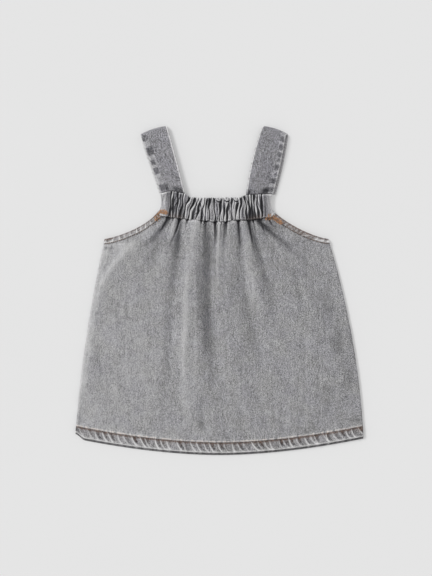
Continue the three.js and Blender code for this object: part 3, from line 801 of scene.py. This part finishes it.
def make_hem(front):
    """A turned hem: a flat band with a rounded lower edge, a stitched groove near its upper one, and
    rope-like puckers between them. The left corner of the lower edge is rounded off. The back one reaches a
    little further down and shows as a dark line of painted shade under the front one."""
    u, v = lined(900 if front else 160, 24 if front else 6)
    low_y = HEM_RISE + HEM_BAND * v
    x = mix(side_line(LEFT, low_y), side_line(RIGHT, low_y), u)
    s = x + HEM_HALF
    corner = HEM_CORNER * (1 - smooth(s / HEM_CORNER_LENGTH)) * (1 - v)
    y = hem_line(x) + HEM_BAND * v + corner
    ridge, hollow = puckers(s, v, 2 * HEM_HALF, HEM_PITCH, 5, 3.6, 4.2, 0.62)
    low = FRONT_LOW if front else 0
    end = np.minimum(s, 2 * HEM_HALF - s)
    rounded = np.sqrt(1 - (1 - np.clip(v * HEM_BAND / 1.6, 0, 1)) ** 2) * np.sqrt(np.clip(end / 1.2, 0, 1))
    relief = 0.8 * ridge - 0.7 * hollow - 0.7 * bell((v - 0.95) / 0.06)
    z = low + 0.5 + (TURNED - 0.5 + (relief if front else 0)) * rounded
    y = y - (0.5 * bell(v / 0.15) * (ridge - 0.8) if front else HEM_PEEK * (1 - v))
    fade, brown = hem_wear_and_shade(s, v, ridge, hollow, front)
    name = "hem_front_cloth" if front else "hem_back_cloth"
    return closed_wall(name, (x, y, z), (x, y, np.full_like(x, low)), fade, x, y, brown=brown)


def twisted_part(s, v, length):
    """Four shares from 0 to 1 along the right armhole, whose length runs from the neckband to the underarm:
    the twist, a bell 21 mm before the underarm, the plain stretch after it, the matted one before it, and a
    ridge that crosses the band on a slant."""
    twist = bell((s - length + 21) / 4)
    after = smooth((s - length + 17) / 3)
    return twist, after, 1 - after, bell(s - length + 30 - 13 * v)


def armhole_wear_and_shade(s, v, ridge, hollow, start, twisted):
    """An armhole edge's wear, painted shade and its brown lint: pale ridges, rim and left underarm, dark
    hollows, painted shade in the groove, and along the right one a blotched matted stretch, a dark twist and
    a pale middle after it."""
    twist, after, matted, crossing = twisted
    outer = bell((v - 0.3) / 0.28)
    blotch = np.sin(s * 2.3 + 3 * v) * np.sin(7 * v + s * 0.9)
    fade = (1.3 * ridge - 1.3 * hollow * outer) * (1 - 0.5 * after - 0.65 * matted) + 0.2
    fade += 0.5 * bell((v * ARM_BAND - 0.6) / 0.5) * (1 - matted)
    fade += 0.9 * start * (1 - smooth((v - 0.35) / 0.2))
    # painted shade in the stitching's groove, and the dark twist
    fade -= 0.45 * bell((v - 0.9) / 0.12) + 1.6 * twist * bell((v - 0.97) / 0.12)
    fade += 1.4 * crossing - matted * (0.5 + 0.6 * blotch)
    fade += after * (0.9 * bell((v - 0.45) / 0.16) - 0.9 * bell((v - 0.12) / 0.1))
    brown = 0.75 * bell((v - 0.86) / 0.17) * (0.75 + 0.25 * np.sin(s * 2.7)) + 0.4 * hollow * outer
    brown = brown + matted * (0.3 + 0.3 * blotch) + 0.5 * start * smooth((v - 0.5) / 0.2)
    return fade, brown


def make_armhole(side, word, front):
    """A turned armhole edge: a narrow band along the armhole's curve, rounded at its outer edge, puckered
    like the hem, with a stitched groove along its inner edge. The left one starts worn pale at the underarm.
    The right one is matted down from the neckband, crossed by a ridge and twisted up before the underarm."""
    u, v = lined(300 if front else 60, 18 if front else 5)
    t = ARM_CURVE_END * (u if side is LEFT else 1 - u)
    point = armhole_point(side, t, ARM_BAND * (1 - v))
    x, y = point[..., 0], point[..., 1]
    edge = armhole_point(side, t, np.zeros_like(t))
    s = np.cumsum(np.hypot(np.gradient(edge[..., 0], axis=1), np.gradient(edge[..., 1], axis=1)), axis=1)
    length = s.max()
    seed = 31 if side is LEFT else 41
    ridge, hollow = puckers(s, v, length, ARM_PITCH, seed, -3.2, 1.2, 0.6)
    low = FRONT_LOW if front else 0
    rounded = np.sqrt(1 - (1 - np.clip(v * ARM_BAND / 1.3, 0, 1)) ** 2)
    start, twisted = bell((s - 4.5) / 4), (0, 0, 0, 0)
    if side is RIGHT:
        start, twisted = 0, twisted_part(s, v, length)
    twist, _, matted, crossing = twisted
    relief = (0.6 * ridge - 0.5 * hollow) * (1 - 0.6 * matted) - 0.6 * bell((v - 0.88) / 0.12)
    relief = relief + 0.7 * crossing + 1.6 * twist * bell((v - 0.4) / 0.35)
    z = low + 0.5 + (TURNED - 0.5 + (relief if front else 0)) * rounded
    fade, brown = armhole_wear_and_shade(s, v, ridge, hollow, start, twisted)
    name = "armhole_" + ("front_" if front else "back_") + word + "_cloth"
    return closed_wall(name, (x, y, z), (x, y, np.full_like(x, low)), fade, x, y, brown=brown)


# The straps
def strap_plan(strap, u, v, bend, peek):
    """x, y and direction of a strap: straight lines from the neckband's upper edge to the fold, bowed by a
    parabola, with the fold curved and set back by bend, and all of it moved sideways by peek."""
    x = mix(strap["seam"][0], strap["seam"][1], u)
    seam = np.stack([x, eased(NECK_TOP, x) - 0.2], -1)
    a, b = (np.array(q, float) for q in strap["fold"])
    fold = mix(a, b, u[..., None])
    along = fold - seam
    along = along / np.linalg.norm(along, axis=-1, keepdims=True)
    fold = fold + along * (STRAP_FOLD_CURVE * 4 * u * (1 - u) - bend)[..., None]
    point = mix(seam, fold, v[..., None])
    bow = mix(strap["bow"][0], strap["bow"][1], u)
    return point[..., 0] + bow * 4 * v * (1 - v) + peek, point[..., 1], along


def strap_squares(strap, v, from_outer):
    """The dark squares of wear along a strap's outer edge: each is a soft step up and down along the strap
    times one across it, and where two meet the darker one counts."""
    dark = np.zeros_like(v)
    for place, half, reach, power in strap["squares"]:
        across = smooth((reach + 0.8 - from_outer) / 2.6) * smooth(from_outer / 0.9)
        dark = np.maximum(dark, power * across * smooth((half + 0.02 - np.abs(v - place)) / 0.04))
    return dark


def strap_wear_and_shade(strap, u, v, x, y, dark, width):
    """Wear and painted light on a strap's front half: its dark squares on a pale allowance, a pale rim along
    the outer edge and a painted highlight along the inner one, and a dark line and blotches of painted shade
    above the neckband."""
    right = strap["outer"]
    from_outer = np.abs(u - right) * width
    beside = smooth((STRAP_ALLOWANCE - from_outer) / 1.2)
    pale = 1 - np.clip(3 * dark, 0, 1)
    uneven = 1 + 0.35 * np.sin(x * 2.1 + y) * np.sin(y * 1.7)
    fade = 0.5 * beside * pale - 0.7 * dark * uneven - 0.2 - 0.1 * right
    fade += mix(0.8 * pale, 1.3, right) * bell((from_outer - 0.6) / 0.6)
    wobble = np.sin(y * 1.1) * np.sin(y * 0.37 + 1)
    # painted highlight along the inner edge
    fade += (2.2 + 0.7 * wobble) * bell((width - from_outer - 0.9) / 0.65)
    blotch = np.clip(0.7 + 0.6 * np.sin(u * 9 + 1) + 0.3 * np.sin(u * 23), 0, 1.4)
    from_seam = v * STRAP_LENGTH
    # a dark line and blotches of painted shade above the neckband's seam
    return fade - 1.2 * bell(from_seam / 1.2) - 0.9 * bell((from_seam - 3.6) / 3.4) * blotch * (1 - beside)


def back_wear(strap, x, y, from_outer):
    """Wear on a strap's back half, which shows as a strip: pale, with slanting marks and a paler rim, and
    less pale on the right."""
    slants = 0.45 * np.sin(y * 1.9 + x * 1.2 + 1.2 * np.sin(y * 0.4))
    rim = bell((from_outer - 0.7) / 0.6)
    return mix(0.85, 0.5, strap["outer"]) + slants + mix(0.8, 0.3, strap["outer"]) * rim


def make_strap(word):
    """A strap as one doubled band: up the front half, round the fold in a half circle, and down the back half
    on the table, which shows past the front half. Its skins are half circles of two radii at the fold. The
    dark squares along its outer edge are pressed in a little."""
    strap = STRAPS[word]
    outer_bend = STRAP_FOLD_HIGH / 2
    shares = np.concatenate([np.linspace(0, 1, 130)[:-1], np.linspace(1, 2, 17)[:-1], np.linspace(2, 3, 60)])
    u, s = np.meshgrid(np.linspace(0, 1, 76), shares)
    v = np.where(s < 1, s, np.where(s > 2, 3 - s, 1))
    front, back = s < 1, s > 2
    at_seam, at_fold = strap["peek"]
    peek = np.where(back, mix(at_seam, at_fold, v**6), at_fold * smooth(s - 1))
    x, y, along = strap_plan(strap, u, v, outer_bend, peek)
    turn = np.pi * np.clip(s - 1, 0, 1)
    width = strap["seam"][1] - strap["seam"][0]
    from_outer = np.abs(u - strap["outer"]) * width
    from_inner = width - from_outer
    edge = np.minimum(from_outer, from_inner)
    dark = strap_squares(strap, v, from_outer)
    seam_end = bell(v * STRAP_LENGTH / 1.2)
    relief = 0.35 * bell((from_outer - 0.9) / 0.8) - 0.3 * bell((from_outer - STRAP_ALLOWANCE) / 0.9)
    relief += 0.25 * bell((from_inner - 0.9) / 0.8) - 0.4 * dark + 0.35 * slack(x * 2.3, y * 1.3)
    rounded = 0.3 + 0.7 * np.sqrt(1 - (1 - np.clip(edge / 0.9, 0, 1)) ** 2)

    def skin(radius, front_height, back_height, form):
        """One side of the band at a distance from its bend's centre."""
        seam_low = neck_low(mix(strap["seam"][0], strap["seam"][1], u)) + SEAM_GAP + front_height
        fold_low = STRAP_FOLD_HIGH - STRAP_THICK + front_height
        rise = mix(seam_low, fold_low, smooth(v))
        z = np.where(front, rise + form * (relief - 1.1 * seam_end), back_height)
        turning = ~front & ~back
        z = np.where(turning, outer_bend + radius * np.cos(turn) + form * relief * np.cos(turn / 2), z)
        shift = radius * np.sin(turn) * turning
        return x + along[..., 0] * shift, y + along[..., 1] * shift, z

    inner = skin(outer_bend - STRAP_THICK, 0, STRAP_THICK, 0)
    outer = skin(outer_bend, STRAP_THICK, 0, 1)
    half = skin(outer_bend - STRAP_THICK / 2, STRAP_THICK / 2, STRAP_THICK / 2, 0.5)
    outer = tuple(mix(h, o, rounded) for h, o in zip(half, outer))
    inner = tuple(mix(h, i, rounded) for h, i in zip(half, inner))
    fade = np.where(back, back_wear(strap, x, y, from_outer), strap_wear_and_shade(strap, u, v, x, y, dark, width))
    return closed_wall("strap_" + word + "_cloth", outer, inner, fade, (u - 0.5) * width, s * STRAP_LENGTH)


# Thread
def heights(pieces, x, y):
    """The highest point and its normal on any of the pieces at each x and y, found by casting a ray down."""
    found = []
    for px, py in zip(x, y):
        start = Vector((px * MM, (py + PATTERN_BASE) * MM, 0.1))
        hits = [piece.ray_cast(start, Vector((0, 0, -1))) for piece in pieces]
        hits = [(hit[1].z / MM, tuple(hit[2])) for hit in hits if hit[0]]
        found.append(max(hits, default=(FRONT_LOW + TURNED, (0, 0, 1))))
    return np.array([f[0] for f in found]), np.array([f[1] for f in found])


def stitches(name, x, y, angle, pieces, length, width, seed, reach=0):
    """A row of stitches as one joined mesh: each is a rod of eight sides and seven rings along a parabola, so
    that both of its ends dip into the cloth under it. With a reach, each is laid over the steps in the cloth
    that far to both sides of it."""
    rings, sides, count = 7, 8, len(x)
    z, normals = heights(pieces, x, y)
    for far in (-reach, reach) if reach else ():
        z = np.maximum(z, heights(pieces, x + far * np.cos(angle), y + far * np.sin(angle))[0] - 0.3)
    normals = normals + [0, 0, 1.5]
    normals = normals / np.linalg.norm(normals, axis=1, keepdims=True)
    directions = np.stack([np.cos(angle), np.sin(angle), np.zeros(count)], -1)
    directions -= normals * (directions * normals).sum(1, keepdims=True)
    directions = directions / np.linalg.norm(directions, axis=1, keepdims=True)
    across = np.cross(normals, directions)
    wild = 1 + 0.3 * (seeded((count, 3), seed) - 0.5)
    a = np.linspace(-1, 1, rings)
    turn = np.arange(sides) * 2 * np.pi / sides
    arch = width * (0.55 * (1 - a**2) - 0.3)
    from_middle = 0.5 * length * wild[:, :1] * a
    centre = np.stack([x, y, z], -1)[:, None] + directions[:, None] * from_middle[..., None]
    centre = centre + normals[:, None] * arch[None, :, None]
    size = 0.5 * width * wild[:, 1:2] * np.sqrt(1.05 - a**2)
    ring = across[:, None, None] * np.cos(turn)[:, None] + normals[:, None, None] * np.sin(turn)[:, None]
    points = (centre[:, :, None] + ring * size[..., None, None]).reshape(-1, 3)
    here = (np.arange(rings - 1)[:, None] * sides + np.arange(sides)).ravel()
    there = (np.arange(rings - 1)[:, None] * sides + (np.arange(sides) + 1) % sides).ravel()
    tube = np.stack([here, there, there + sides, here + sides], -1)
    cap = np.array([(0, 1, 2, 3), (0, 3, 4, 5), (0, 5, 6, 7)])
    one = np.concatenate([tube, cap[:, ::-1], cap + (rings - 1) * sides])
    faces = (one[None] + (np.arange(count) * rings * sides)[:, None, None]).reshape(-1, 4)
    tone = np.repeat(seeded(count, seed + 1) - 0.5, rings * sides)
    along = np.tile(np.repeat(a * 0.5 * length, sides), count)
    along = along + np.repeat(np.arange(count) * 7.0, rings * sides)
    around = np.tile(np.tile(turn * width * 0.5, rings), count)
    return make_mesh(name, points, faces, tone, along, around)


def along_path(x, y, pitch):
    """Points every pitch millimetres along a line of points, and the line's direction at each."""
    far = np.concatenate([[0], np.cumsum(np.hypot(np.diff(x), np.diff(y)))])
    at = np.arange(pitch / 2, far[-1], pitch)
    angle = np.unwrap(np.arctan2(np.gradient(y), np.gradient(x)))
    return np.interp(at, far, x), np.interp(at, far, y), np.interp(at, far, angle)


def hem_stitches(pieces):
    """The hem's topstitching, half a millimetre below its upper edge."""
    t = np.linspace(0, 1, 400)
    height = HEM_BAND - 0.45
    x = mix(side_line(LEFT, HEM_RISE + height) + 0.8, side_line(RIGHT, HEM_RISE + height) - 0.8, t)
    return stitches("hem_stitches", *along_path(x, hem_line(x) + height, 2.4), pieces, 1.7, 1.3, 51)


def armhole_stitches(side, word, pieces):
    """An armhole's topstitching, along the inner edge of its turned band."""
    t = np.linspace(0.02, 0.97, 200)
    point = armhole_point(side, t, np.full_like(t, ARM_BAND - 0.6))
    row = along_path(point[:, 0], point[:, 1], 2.3)
    return stitches("armhole_stitches_" + word, *row, pieces, 1.5, 1.1, 61)


# The bartacks' middle lines, as x and y
BARTACKS = {
    "left": ((-71.4, 267.6), (-71.6, 276.5), (-69.2, 281), (-59.5, 275.6)),
    "right": ((53.8, 270.4), (59.3, 273.4), (65.1, 269.4), (72, 263.7)),
}


def bartack(word, pieces):
    """A dense, worn run of short threads laid across a cubic curve, each turned and moved by a little."""
    p = np.array(BARTACKS[word], float)
    t = np.linspace(0, 1, 60)[:, None]
    line = (1 - t) ** 3 * p[0] + 3 * (1 - t) ** 2 * t * p[1] + 3 * (1 - t) * t * t * p[2] + t**3 * p[3]
    x, y, angle = along_path(line[:, 0], line[:, 1], 0.17)
    wild = seeded((len(x), 3), 71) - 0.5
    spread = mix(6.4, 2.6, smooth(np.linspace(0, 1, len(x))))
    x = x + spread * wild[:, 0] * np.abs(np.sin(angle)) + 1.5 * wild[:, 1]
    y = y + spread * wild[:, 0] * np.abs(np.cos(angle)) + 1.5 * wild[:, 1]
    return stitches("bartack_" + word, x, y, angle + np.pi / 2 + 2.6 * wild[:, 2], pieces, 2.7, 0.62, 81, 1.2)


# Node groups
def new_group(name, inputs, outputs):
    """An empty shader group with named sockets, and its input and output nodes."""
    group = bpy.data.node_groups.new(name, "ShaderNodeTree")
    for label, kind, value in inputs:
        socket = group.interface.new_socket(label, in_out="INPUT", socket_type="NodeSocket" + kind)
        if value is not None:
            socket.default_value = value
    for label, kind in outputs:
        group.interface.new_socket(label, in_out="OUTPUT", socket_type="NodeSocket" + kind)
    return group, group.nodes.new("NodeGroupInput"), group.nodes.new("NodeGroupOutput")


def node(tree, kind, settings=None, **links):
    """A node of a kind with its settings. Its sockets, by name or as i0 and i1, take values or links."""
    made = tree.nodes.new("ShaderNode" + kind)
    for key, value in (settings or {}).items():
        setattr(made, key, value)
    for key, value in links.items():
        socket = made.inputs[int(key[1:])] if key[0] == "i" and key[1:].isdigit() else made.inputs[key]
        if isinstance(value, bpy.types.NodeSocket):
            tree.links.new(value, socket)
        else:
            socket.default_value = value
    return made


def calc(tree, operation, *values):
    """The result socket of a math node."""
    links = {f"i{k}": value for k, value in enumerate(values)}
    return node(tree, "Math", {"operation": operation}, **links).outputs[0]


def blend(tree, share, first, second):
    """The first colour at a share of 0, the second at 1, and their mix in between."""
    return node(tree, "Mix", {"data_type": "RGBA"}, i0=share, i6=first, i7=second).outputs[2]


def ranged(tree, value, low, high, to_low, to_high):
    """A value mapped from one range to another and clamped."""
    made = node(tree, "MapRange", {"clamp": True}, Value=value)
    for label, number in (("From Min", low), ("From Max", high), ("To Min", to_low), ("To Max", to_high)):
        made.inputs[label].default_value = number
    return made.outputs[0]


def noise(tree, vector, scale, stretch=(1, 1, 1), detail=2.0, roughness=0.55):
    """A noise texture's value, in a vector stretched by three factors."""
    spread = node(tree, "VectorMath", {"operation": "MULTIPLY"}, i0=vector, i1=stretch).outputs[0]
    made = node(tree, "TexNoise", None, Vector=spread, Scale=scale, Detail=detail, Roughness=roughness)
    return made.outputs["Fac"]


def weave_group():
    """A twill: warp yarns stand upright and each passes over two weft yarns and under one, a step further on
    in the next yarn. Puts out how much of the weft shows, a shade for each float of yarn, and the height of
    the yarns' round backs."""
    tree, start, end = new_group(
        "twill weave",
        (("Cloth", "Vector", None), ("Warp Pitch", "Float", 0.00042), ("Weft Pitch", "Float", 0.0005)),
        (("Weft", "Float"), ("Float Shade", "Float"), ("Height", "Float")),
    )
    sway = noise(tree, start.outputs["Cloth"], 180, detail=2.0)
    sway = calc(tree, "MULTIPLY", calc(tree, "SUBTRACT", sway, 0.5), 0.0024)
    parts = node(tree, "SeparateXYZ", None, Vector=start.outputs["Cloth"])
    u = calc(tree, "DIVIDE", calc(tree, "ADD", parts.outputs[0], sway), start.outputs["Warp Pitch"])
    v = calc(tree, "DIVIDE", calc(tree, "ADD", parts.outputs[1], sway), start.outputs["Weft Pitch"])
    column, row = calc(tree, "FLOOR", u), calc(tree, "FLOOR", v)
    cell = calc(tree, "ADD", column, row)
    weft = calc(tree, "LESS_THAN", calc(tree, "FLOORED_MODULO", cell, 3.0), 0.5)
    run = calc(tree, "FLOOR", calc(tree, "DIVIDE", cell, 3.0))
    place = node(tree, "CombineXYZ", None, X=column, Y=run, Z=weft)
    shade = node(tree, "TexWhiteNoise", {"noise_dimensions": "3D"}, Vector=place.outputs[0]).outputs["Value"]
    round_u = calc(tree, "SINE", calc(tree, "MULTIPLY", calc(tree, "FRACT", u), math.pi))
    round_v = calc(tree, "SINE", calc(tree, "MULTIPLY", calc(tree, "FRACT", v), math.pi))
    lower = calc(tree, "MULTIPLY", round_v, 0.6)
    height = node(tree, "Mix", {"data_type": "FLOAT"}, i0=weft, i2=round_u, i3=lower).outputs[0]
    tree.links.new(weft, end.inputs["Weft"])
    tree.links.new(shade, end.inputs["Float Shade"])
    tree.links.new(height, end.inputs["Height"])
    return tree


def washed_group(weave):
    """Washed denim: the yarn's grey with salt-and-pepper grain, upright streaks and soft clouds of wash, pale
    where the fade attribute is above zero and dark where it is below. That attribute carries each piece's
    wear together with the painted light and shade worked out for it. Just above a turned edge's stitching
    the denim has a pale, broken line and short upright ticks where the turning's edge has rubbed through.
    Lint of the brown thread lies over it in specks, by the brown attribute."""
    tree, start, end = new_group(
        "washed denim",
        (
            ("Cloth", "Vector", None),
            ("Fade", "Float", 0.0),
            ("Turning", "Float", 99.0),
            ("Brown", "Float", 0.0),
            ("Yarn", "Color", (0.3, 0.3, 0.3, 1)),
            # pale, for wear and for painted highlight
            ("Worn And Lit", "Color", (0.77, 0.765, 0.765, 1)),
            ("Turned", "Color", (0.76, 0.68, 0.62, 1)),
            # near black, for dark wear and for painted shade
            ("Deep", "Color", (0.018, 0.018, 0.022, 1)),
            ("Lint", "Color", (0.2, 0.138, 0.112, 1)),
            ("Grain", "Float", 0.5),
            ("Clouds", "Float", 0.14),
        ),
        (("Color", "Color"), ("Roughness", "Float"), ("Height", "Float")),
    )
    cloth, turning = start.outputs["Cloth"], start.outputs["Turning"]
    twill = node(tree, "Group", {"node_tree": weave}, Cloth=cloth)
    speck = calc(tree, "SUBTRACT", twill.outputs["Float Shade"], 0.5)
    salt = calc(tree, "SUBTRACT", noise(tree, cloth, 1600, detail=1.0, roughness=0.7), 0.5)
    fine_streak = calc(tree, "SUBTRACT", noise(tree, cloth, 1100, (1, 0.13, 1), 0.0), 0.5)
    streak = calc(tree, "SUBTRACT", noise(tree, cloth, 95, (3.2, 0.36, 1), 2.0), 0.5)
    cloud = calc(tree, "SUBTRACT", noise(tree, cloth, 26, (1.6, 0.5, 1), 3.0), 0.5)
    patch = calc(tree, "SUBTRACT", noise(tree, cloth, 110, (1, 0.8, 1), 2.0), 0.5)
    weft = calc(tree, "SUBTRACT", twill.outputs["Weft"], 0.33)
    grain = calc(tree, "MULTIPLY_ADD", weft, 0.3, calc(tree, "MULTIPLY", salt, 9.0))
    grain = calc(tree, "MULTIPLY_ADD", speck, 2.2, grain)
    grain = calc(tree, "MULTIPLY_ADD", fine_streak, 1.1, grain)
    grain = calc(tree, "MULTIPLY", grain, start.outputs["Grain"])
    slow = calc(tree, "MULTIPLY_ADD", cloud, 1.2, calc(tree, "MULTIPLY", patch, 0.3))
    slow = calc(tree, "MULTIPLY_ADD", streak, 1.5, slow)
    slow = calc(tree, "MULTIPLY", slow, start.outputs["Clouds"])
    tone = calc(tree, "MAXIMUM", calc(tree, "ADD", calc(tree, "ADD", grain, slow), 1.0), 0.12)
    hue = ranged(tree, noise(tree, cloth, 45, (1, 1, 1), 2.0), 0.36, 0.64, 0.0, 1.0)
    cast = blend(tree, hue, (1.006, 0.999, 0.995, 1), (1.0, 0.992, 1.026, 1))
    yarn = node(tree, "VectorMath", {"operation": "MULTIPLY"}, i0=start.outputs["Yarn"], i1=cast).outputs[0]
    shade = node(tree, "VectorMath", {"operation": "SCALE"}, i0=yarn, Scale=tone).outputs[0]
    broken = ranged(tree, noise(tree, cloth, 330, (1, 0.3, 1), 2.0), 0.36, 0.56, 0.1, 1.0)
    line = calc(tree, "DIVIDE", calc(tree, "SUBTRACT", turning, 1.25), 0.75)
    line = calc(tree, "EXPONENT", calc(tree, "MULTIPLY", calc(tree, "MULTIPLY", line, line), -1.0))
    ticks = ranged(tree, noise(tree, cloth, 760, (1, 0.08, 1), 0.0), 0.56, 0.68, 0.0, 1.0)
    ticks = calc(tree, "MULTIPLY", ticks, ranged(tree, turning, 1.0, 5.5, 1.0, 0.0))
    line = calc(tree, "MULTIPLY", line, broken)
    rubbed = calc(tree, "MULTIPLY_ADD", line, 1.35, ticks)
    fade = calc(tree, "ADD", start.outputs["Fade"], rubbed)
    rough_fade = calc(tree, "MULTIPLY_ADD", salt, 1.2, calc(tree, "MULTIPLY_ADD", patch, 0.5, fade))
    pale = ranged(tree, rough_fade, 0.0, 1.6, 0.0, 0.92)
    dark = ranged(tree, rough_fade, 0.0, -1.5, 0.0, 0.94)
    worn_and_lit = blend(tree, line, start.outputs["Worn And Lit"], start.outputs["Turned"])
    full = blend(tree, dark, blend(tree, pale, shade, worn_and_lit), start.outputs["Deep"])
    lint = ranged(tree, noise(tree, cloth, 700, (1, 1, 1), 1.0), 0.35, 0.6, 0.3, 1.0)
    lint = calc(tree, "MULTIPLY", lint, start.outputs["Brown"])
    full = blend(tree, lint, full, start.outputs["Lint"])
    height = calc(tree, "MULTIPLY_ADD", twill.outputs["Height"], 0.4, calc(tree, "MULTIPLY", salt, 1.8))
    tree.links.new(full, end.inputs["Color"])
    tree.links.new(ranged(tree, salt, -0.25, 0.25, 0.82, 0.98), end.inputs["Roughness"])
    tree.links.new(height, end.inputs["Height"])
    return tree


def attribute(tree, name):
    """The value of a mesh's own attribute."""
    return node(tree, "Attribute", {"attribute_name": name}).outputs["Fac"]


def new_material(name):
    """A material with an empty tree but for its Principled shader and output."""
    made = bpy.data.materials.new(name)
    made.use_nodes = True
    return made, made.node_tree, made.node_tree.nodes["Principled BSDF"]


def denim(name, washed, yarn, grain, clouds, bump):
    """A washed denim of one yarn colour, with a soft nap that catches light at grazing angles."""
    made, tree, shader = new_material(name)
    cloth = node(tree, "UVMap", {"uv_map": "cloth"}).outputs[0]
    look = node(tree, "Group", {"node_tree": washed}, Cloth=cloth, Yarn=yarn, Grain=grain, Clouds=clouds)
    tree.links.new(attribute(tree, "fade"), look.inputs["Fade"])
    tree.links.new(attribute(tree, "turning"), look.inputs["Turning"])
    tree.links.new(attribute(tree, "brown"), look.inputs["Brown"])
    relief = node(tree, "Bump", None, Strength=bump, Distance=0.0004, Height=look.outputs["Height"])
    tree.links.new(look.outputs["Color"], shader.inputs["Base Color"])
    tree.links.new(look.outputs["Roughness"], shader.inputs["Roughness"])
    tree.links.new(relief.outputs[0], shader.inputs["Normal"])
    shader.inputs["Specular IOR Level"].default_value = 0.22
    shader.inputs["Sheen Weight"].default_value = 0.12
    shader.inputs["Sheen Roughness"].default_value = 0.6
    return made


def thread(name, light, dark):
    """Sewing thread: a twisted strand, its colour worn unevenly from one stitch to the next."""
    made, tree, shader = new_material(name)
    cloth = node(tree, "UVMap", {"uv_map": "cloth"}).outputs[0]
    twist = node(tree, "TexWave", {"bands_direction": "DIAGONAL"}, Vector=cloth, Scale=620.0, Distortion=1.0)
    worn_by = calc(tree, "MULTIPLY", attribute(tree, "fade"), 0.8)
    worn_by = calc(tree, "MULTIPLY_ADD", noise(tree, cloth, 900), 0.9, worn_by)
    share = ranged(tree, worn_by, 0.22, 0.9, 0.0, 1.0)
    colour = blend(tree, share, dark, light)
    relief = node(tree, "Bump", None, Strength=0.5, Distance=0.0001, Height=twist.outputs["Fac"])
    tree.links.new(colour, shader.inputs["Base Color"])
    tree.links.new(ranged(tree, twist.outputs["Fac"], 0.0, 1.0, 0.55, 0.75), shader.inputs["Roughness"])
    tree.links.new(relief.outputs[0], shader.inputs["Normal"])
    shader.inputs["Sheen Weight"].default_value = 0.1
    return made


def paint(obj, material):
    """The piece takes its material and rides on the frame."""
    obj.data.materials.append(material)
    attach(obj, "root")


# The surface it lies on, the light and the camera
def make_floor():
    """Pale paper, faintly clouded by a noise, with a little light of its own, as an even studio floor has."""
    bpy.ops.mesh.primitive_plane_add(size=6, location=(0, 0, 0))
    floor = bpy.context.object
    floor.name = "floor"
    paper, tree, shader = new_material("pale paper")
    place = node(tree, "TexCoord").outputs["Object"]
    tint = blend(tree, noise(tree, place, 3), (0.57, 0.57, 0.57, 1), (0.585, 0.585, 0.585, 1))
    tree.links.new(tint, shader.inputs["Base Color"])
    tree.links.new(ranged(tree, noise(tree, place, 900), 0.3, 0.7, 0.85, 0.95), shader.inputs["Roughness"])
    shader.inputs["Specular IOR Level"].default_value = 0.1
    shader.inputs["Emission Color"].default_value = (1, 1, 1, 1)
    shader.inputs["Emission Strength"].default_value = 0.22
    floor.data.materials.append(paper)
    return floor


def make_light():
    """A broad, distant studio light up and to the left, aimed at the middle, and an even room."""
    lamp_data = bpy.data.lights.new("studio light", "SUN")
    lamp_data.angle = math.radians(18)
    lamp_data.energy = 1.7
    lamp = bpy.data.objects.new("studio light", lamp_data)
    lamp.location = (-0.95, 0.8, 1.06)
    lamp.rotation_euler = (-Vector(lamp.location)).to_track_quat("-Z", "Y").to_euler()
    bpy.context.scene.collection.objects.link(lamp)
    room = bpy.data.worlds.new("room")
    room.use_nodes = True
    room.node_tree.nodes["Background"].inputs[0].default_value = (1, 1, 1, 1)
    room.node_tree.nodes["Background"].inputs[1].default_value = 0.62
    bpy.context.scene.world = room
    bpy.context.scene.view_settings.view_transform = "Standard"


def make_camera():
    """A camera straight above, far away, with a lens long enough that the picture's height fills it."""
    camera_data = bpy.data.cameras.new("camera")
    camera_data.sensor_width = 36
    camera_data.lens = camera_data.sensor_width * CAMERA_PLACE[2] / PICTURE_HEIGHT
    camera = bpy.data.objects.new("camera", camera_data)
    camera.location = CAMERA_PLACE
    bpy.context.scene.collection.objects.link(camera)
    bpy.context.scene.camera = camera


# Building the dress
front_panel = make_front_panel()
back_panel = make_back_panel()
neck_front, neck_back = make_neckband(True), make_neckband(False)
hem_front, hem_back = make_hem(True), make_hem(False)
arm = {
    (word, front): make_armhole(side, word, front)
    for word, side in (("left", LEFT), ("right", RIGHT))
    for front in (True, False)
}
straps = {word: make_strap(word) for word in STRAPS}
bpy.context.view_layer.update()

hem_row = hem_stitches([hem_front, front_panel])
arm_rows = {
    word: armhole_stitches(side, word, [arm[word, True], front_panel])
    for word, side in (("left", LEFT), ("right", RIGHT))
}
tacks = {word: bartack(word, [arm[word, True], front_panel, neck_front]) for word in BARTACKS}

washed = washed_group(weave_group())
panel_denim = denim("panel denim", washed, (0.315, 0.315, 0.319, 1), 0.54, 0.46, 0.5)
band_denim = denim("band denim", washed, (0.290, 0.288, 0.300, 1), 0.6, 0.9, 0.5)
strap_denim = denim("strap denim", washed, (0.288, 0.286, 0.300, 1), 0.78, 0.45, 0.5)
hem_denim = denim("hem denim", washed, (0.300, 0.295, 0.296, 1), 0.58, 0.7, 0.5)
brown_thread = thread("brown thread", (0.33, 0.225, 0.17, 1), (0.11, 0.075, 0.06, 1))
copper_thread = thread("copper thread", (0.62, 0.31, 0.135, 1), (0.17, 0.11, 0.08, 1))

for obj, node_name in ((front_panel, "front_panel"), (back_panel, "back_panel")):
    paint(obj, panel_denim)
    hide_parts(node_name)
for obj, node_name in ((neck_front, "neckband_front"), (neck_back, "neckband_back")):
    paint(obj, band_denim)
    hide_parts(node_name)
for word, obj in straps.items():
    paint(obj, strap_denim)
    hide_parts("strap_" + word)
for obj, node_name in ((hem_front, "hem_front"), (hem_back, "hem_back")):
    paint(obj, hem_denim)
    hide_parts(node_name)
for (word, front), obj in arm.items():
    paint(obj, hem_denim)
    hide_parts("armhole_" + ("front_" if front else "back_") + word)
for obj in (hem_row, *arm_rows.values()):
    paint(obj, brown_thread)
for obj in tacks.values():
    paint(obj, copper_thread)

# The surface, light and camera
make_floor()
make_light()
make_camera()
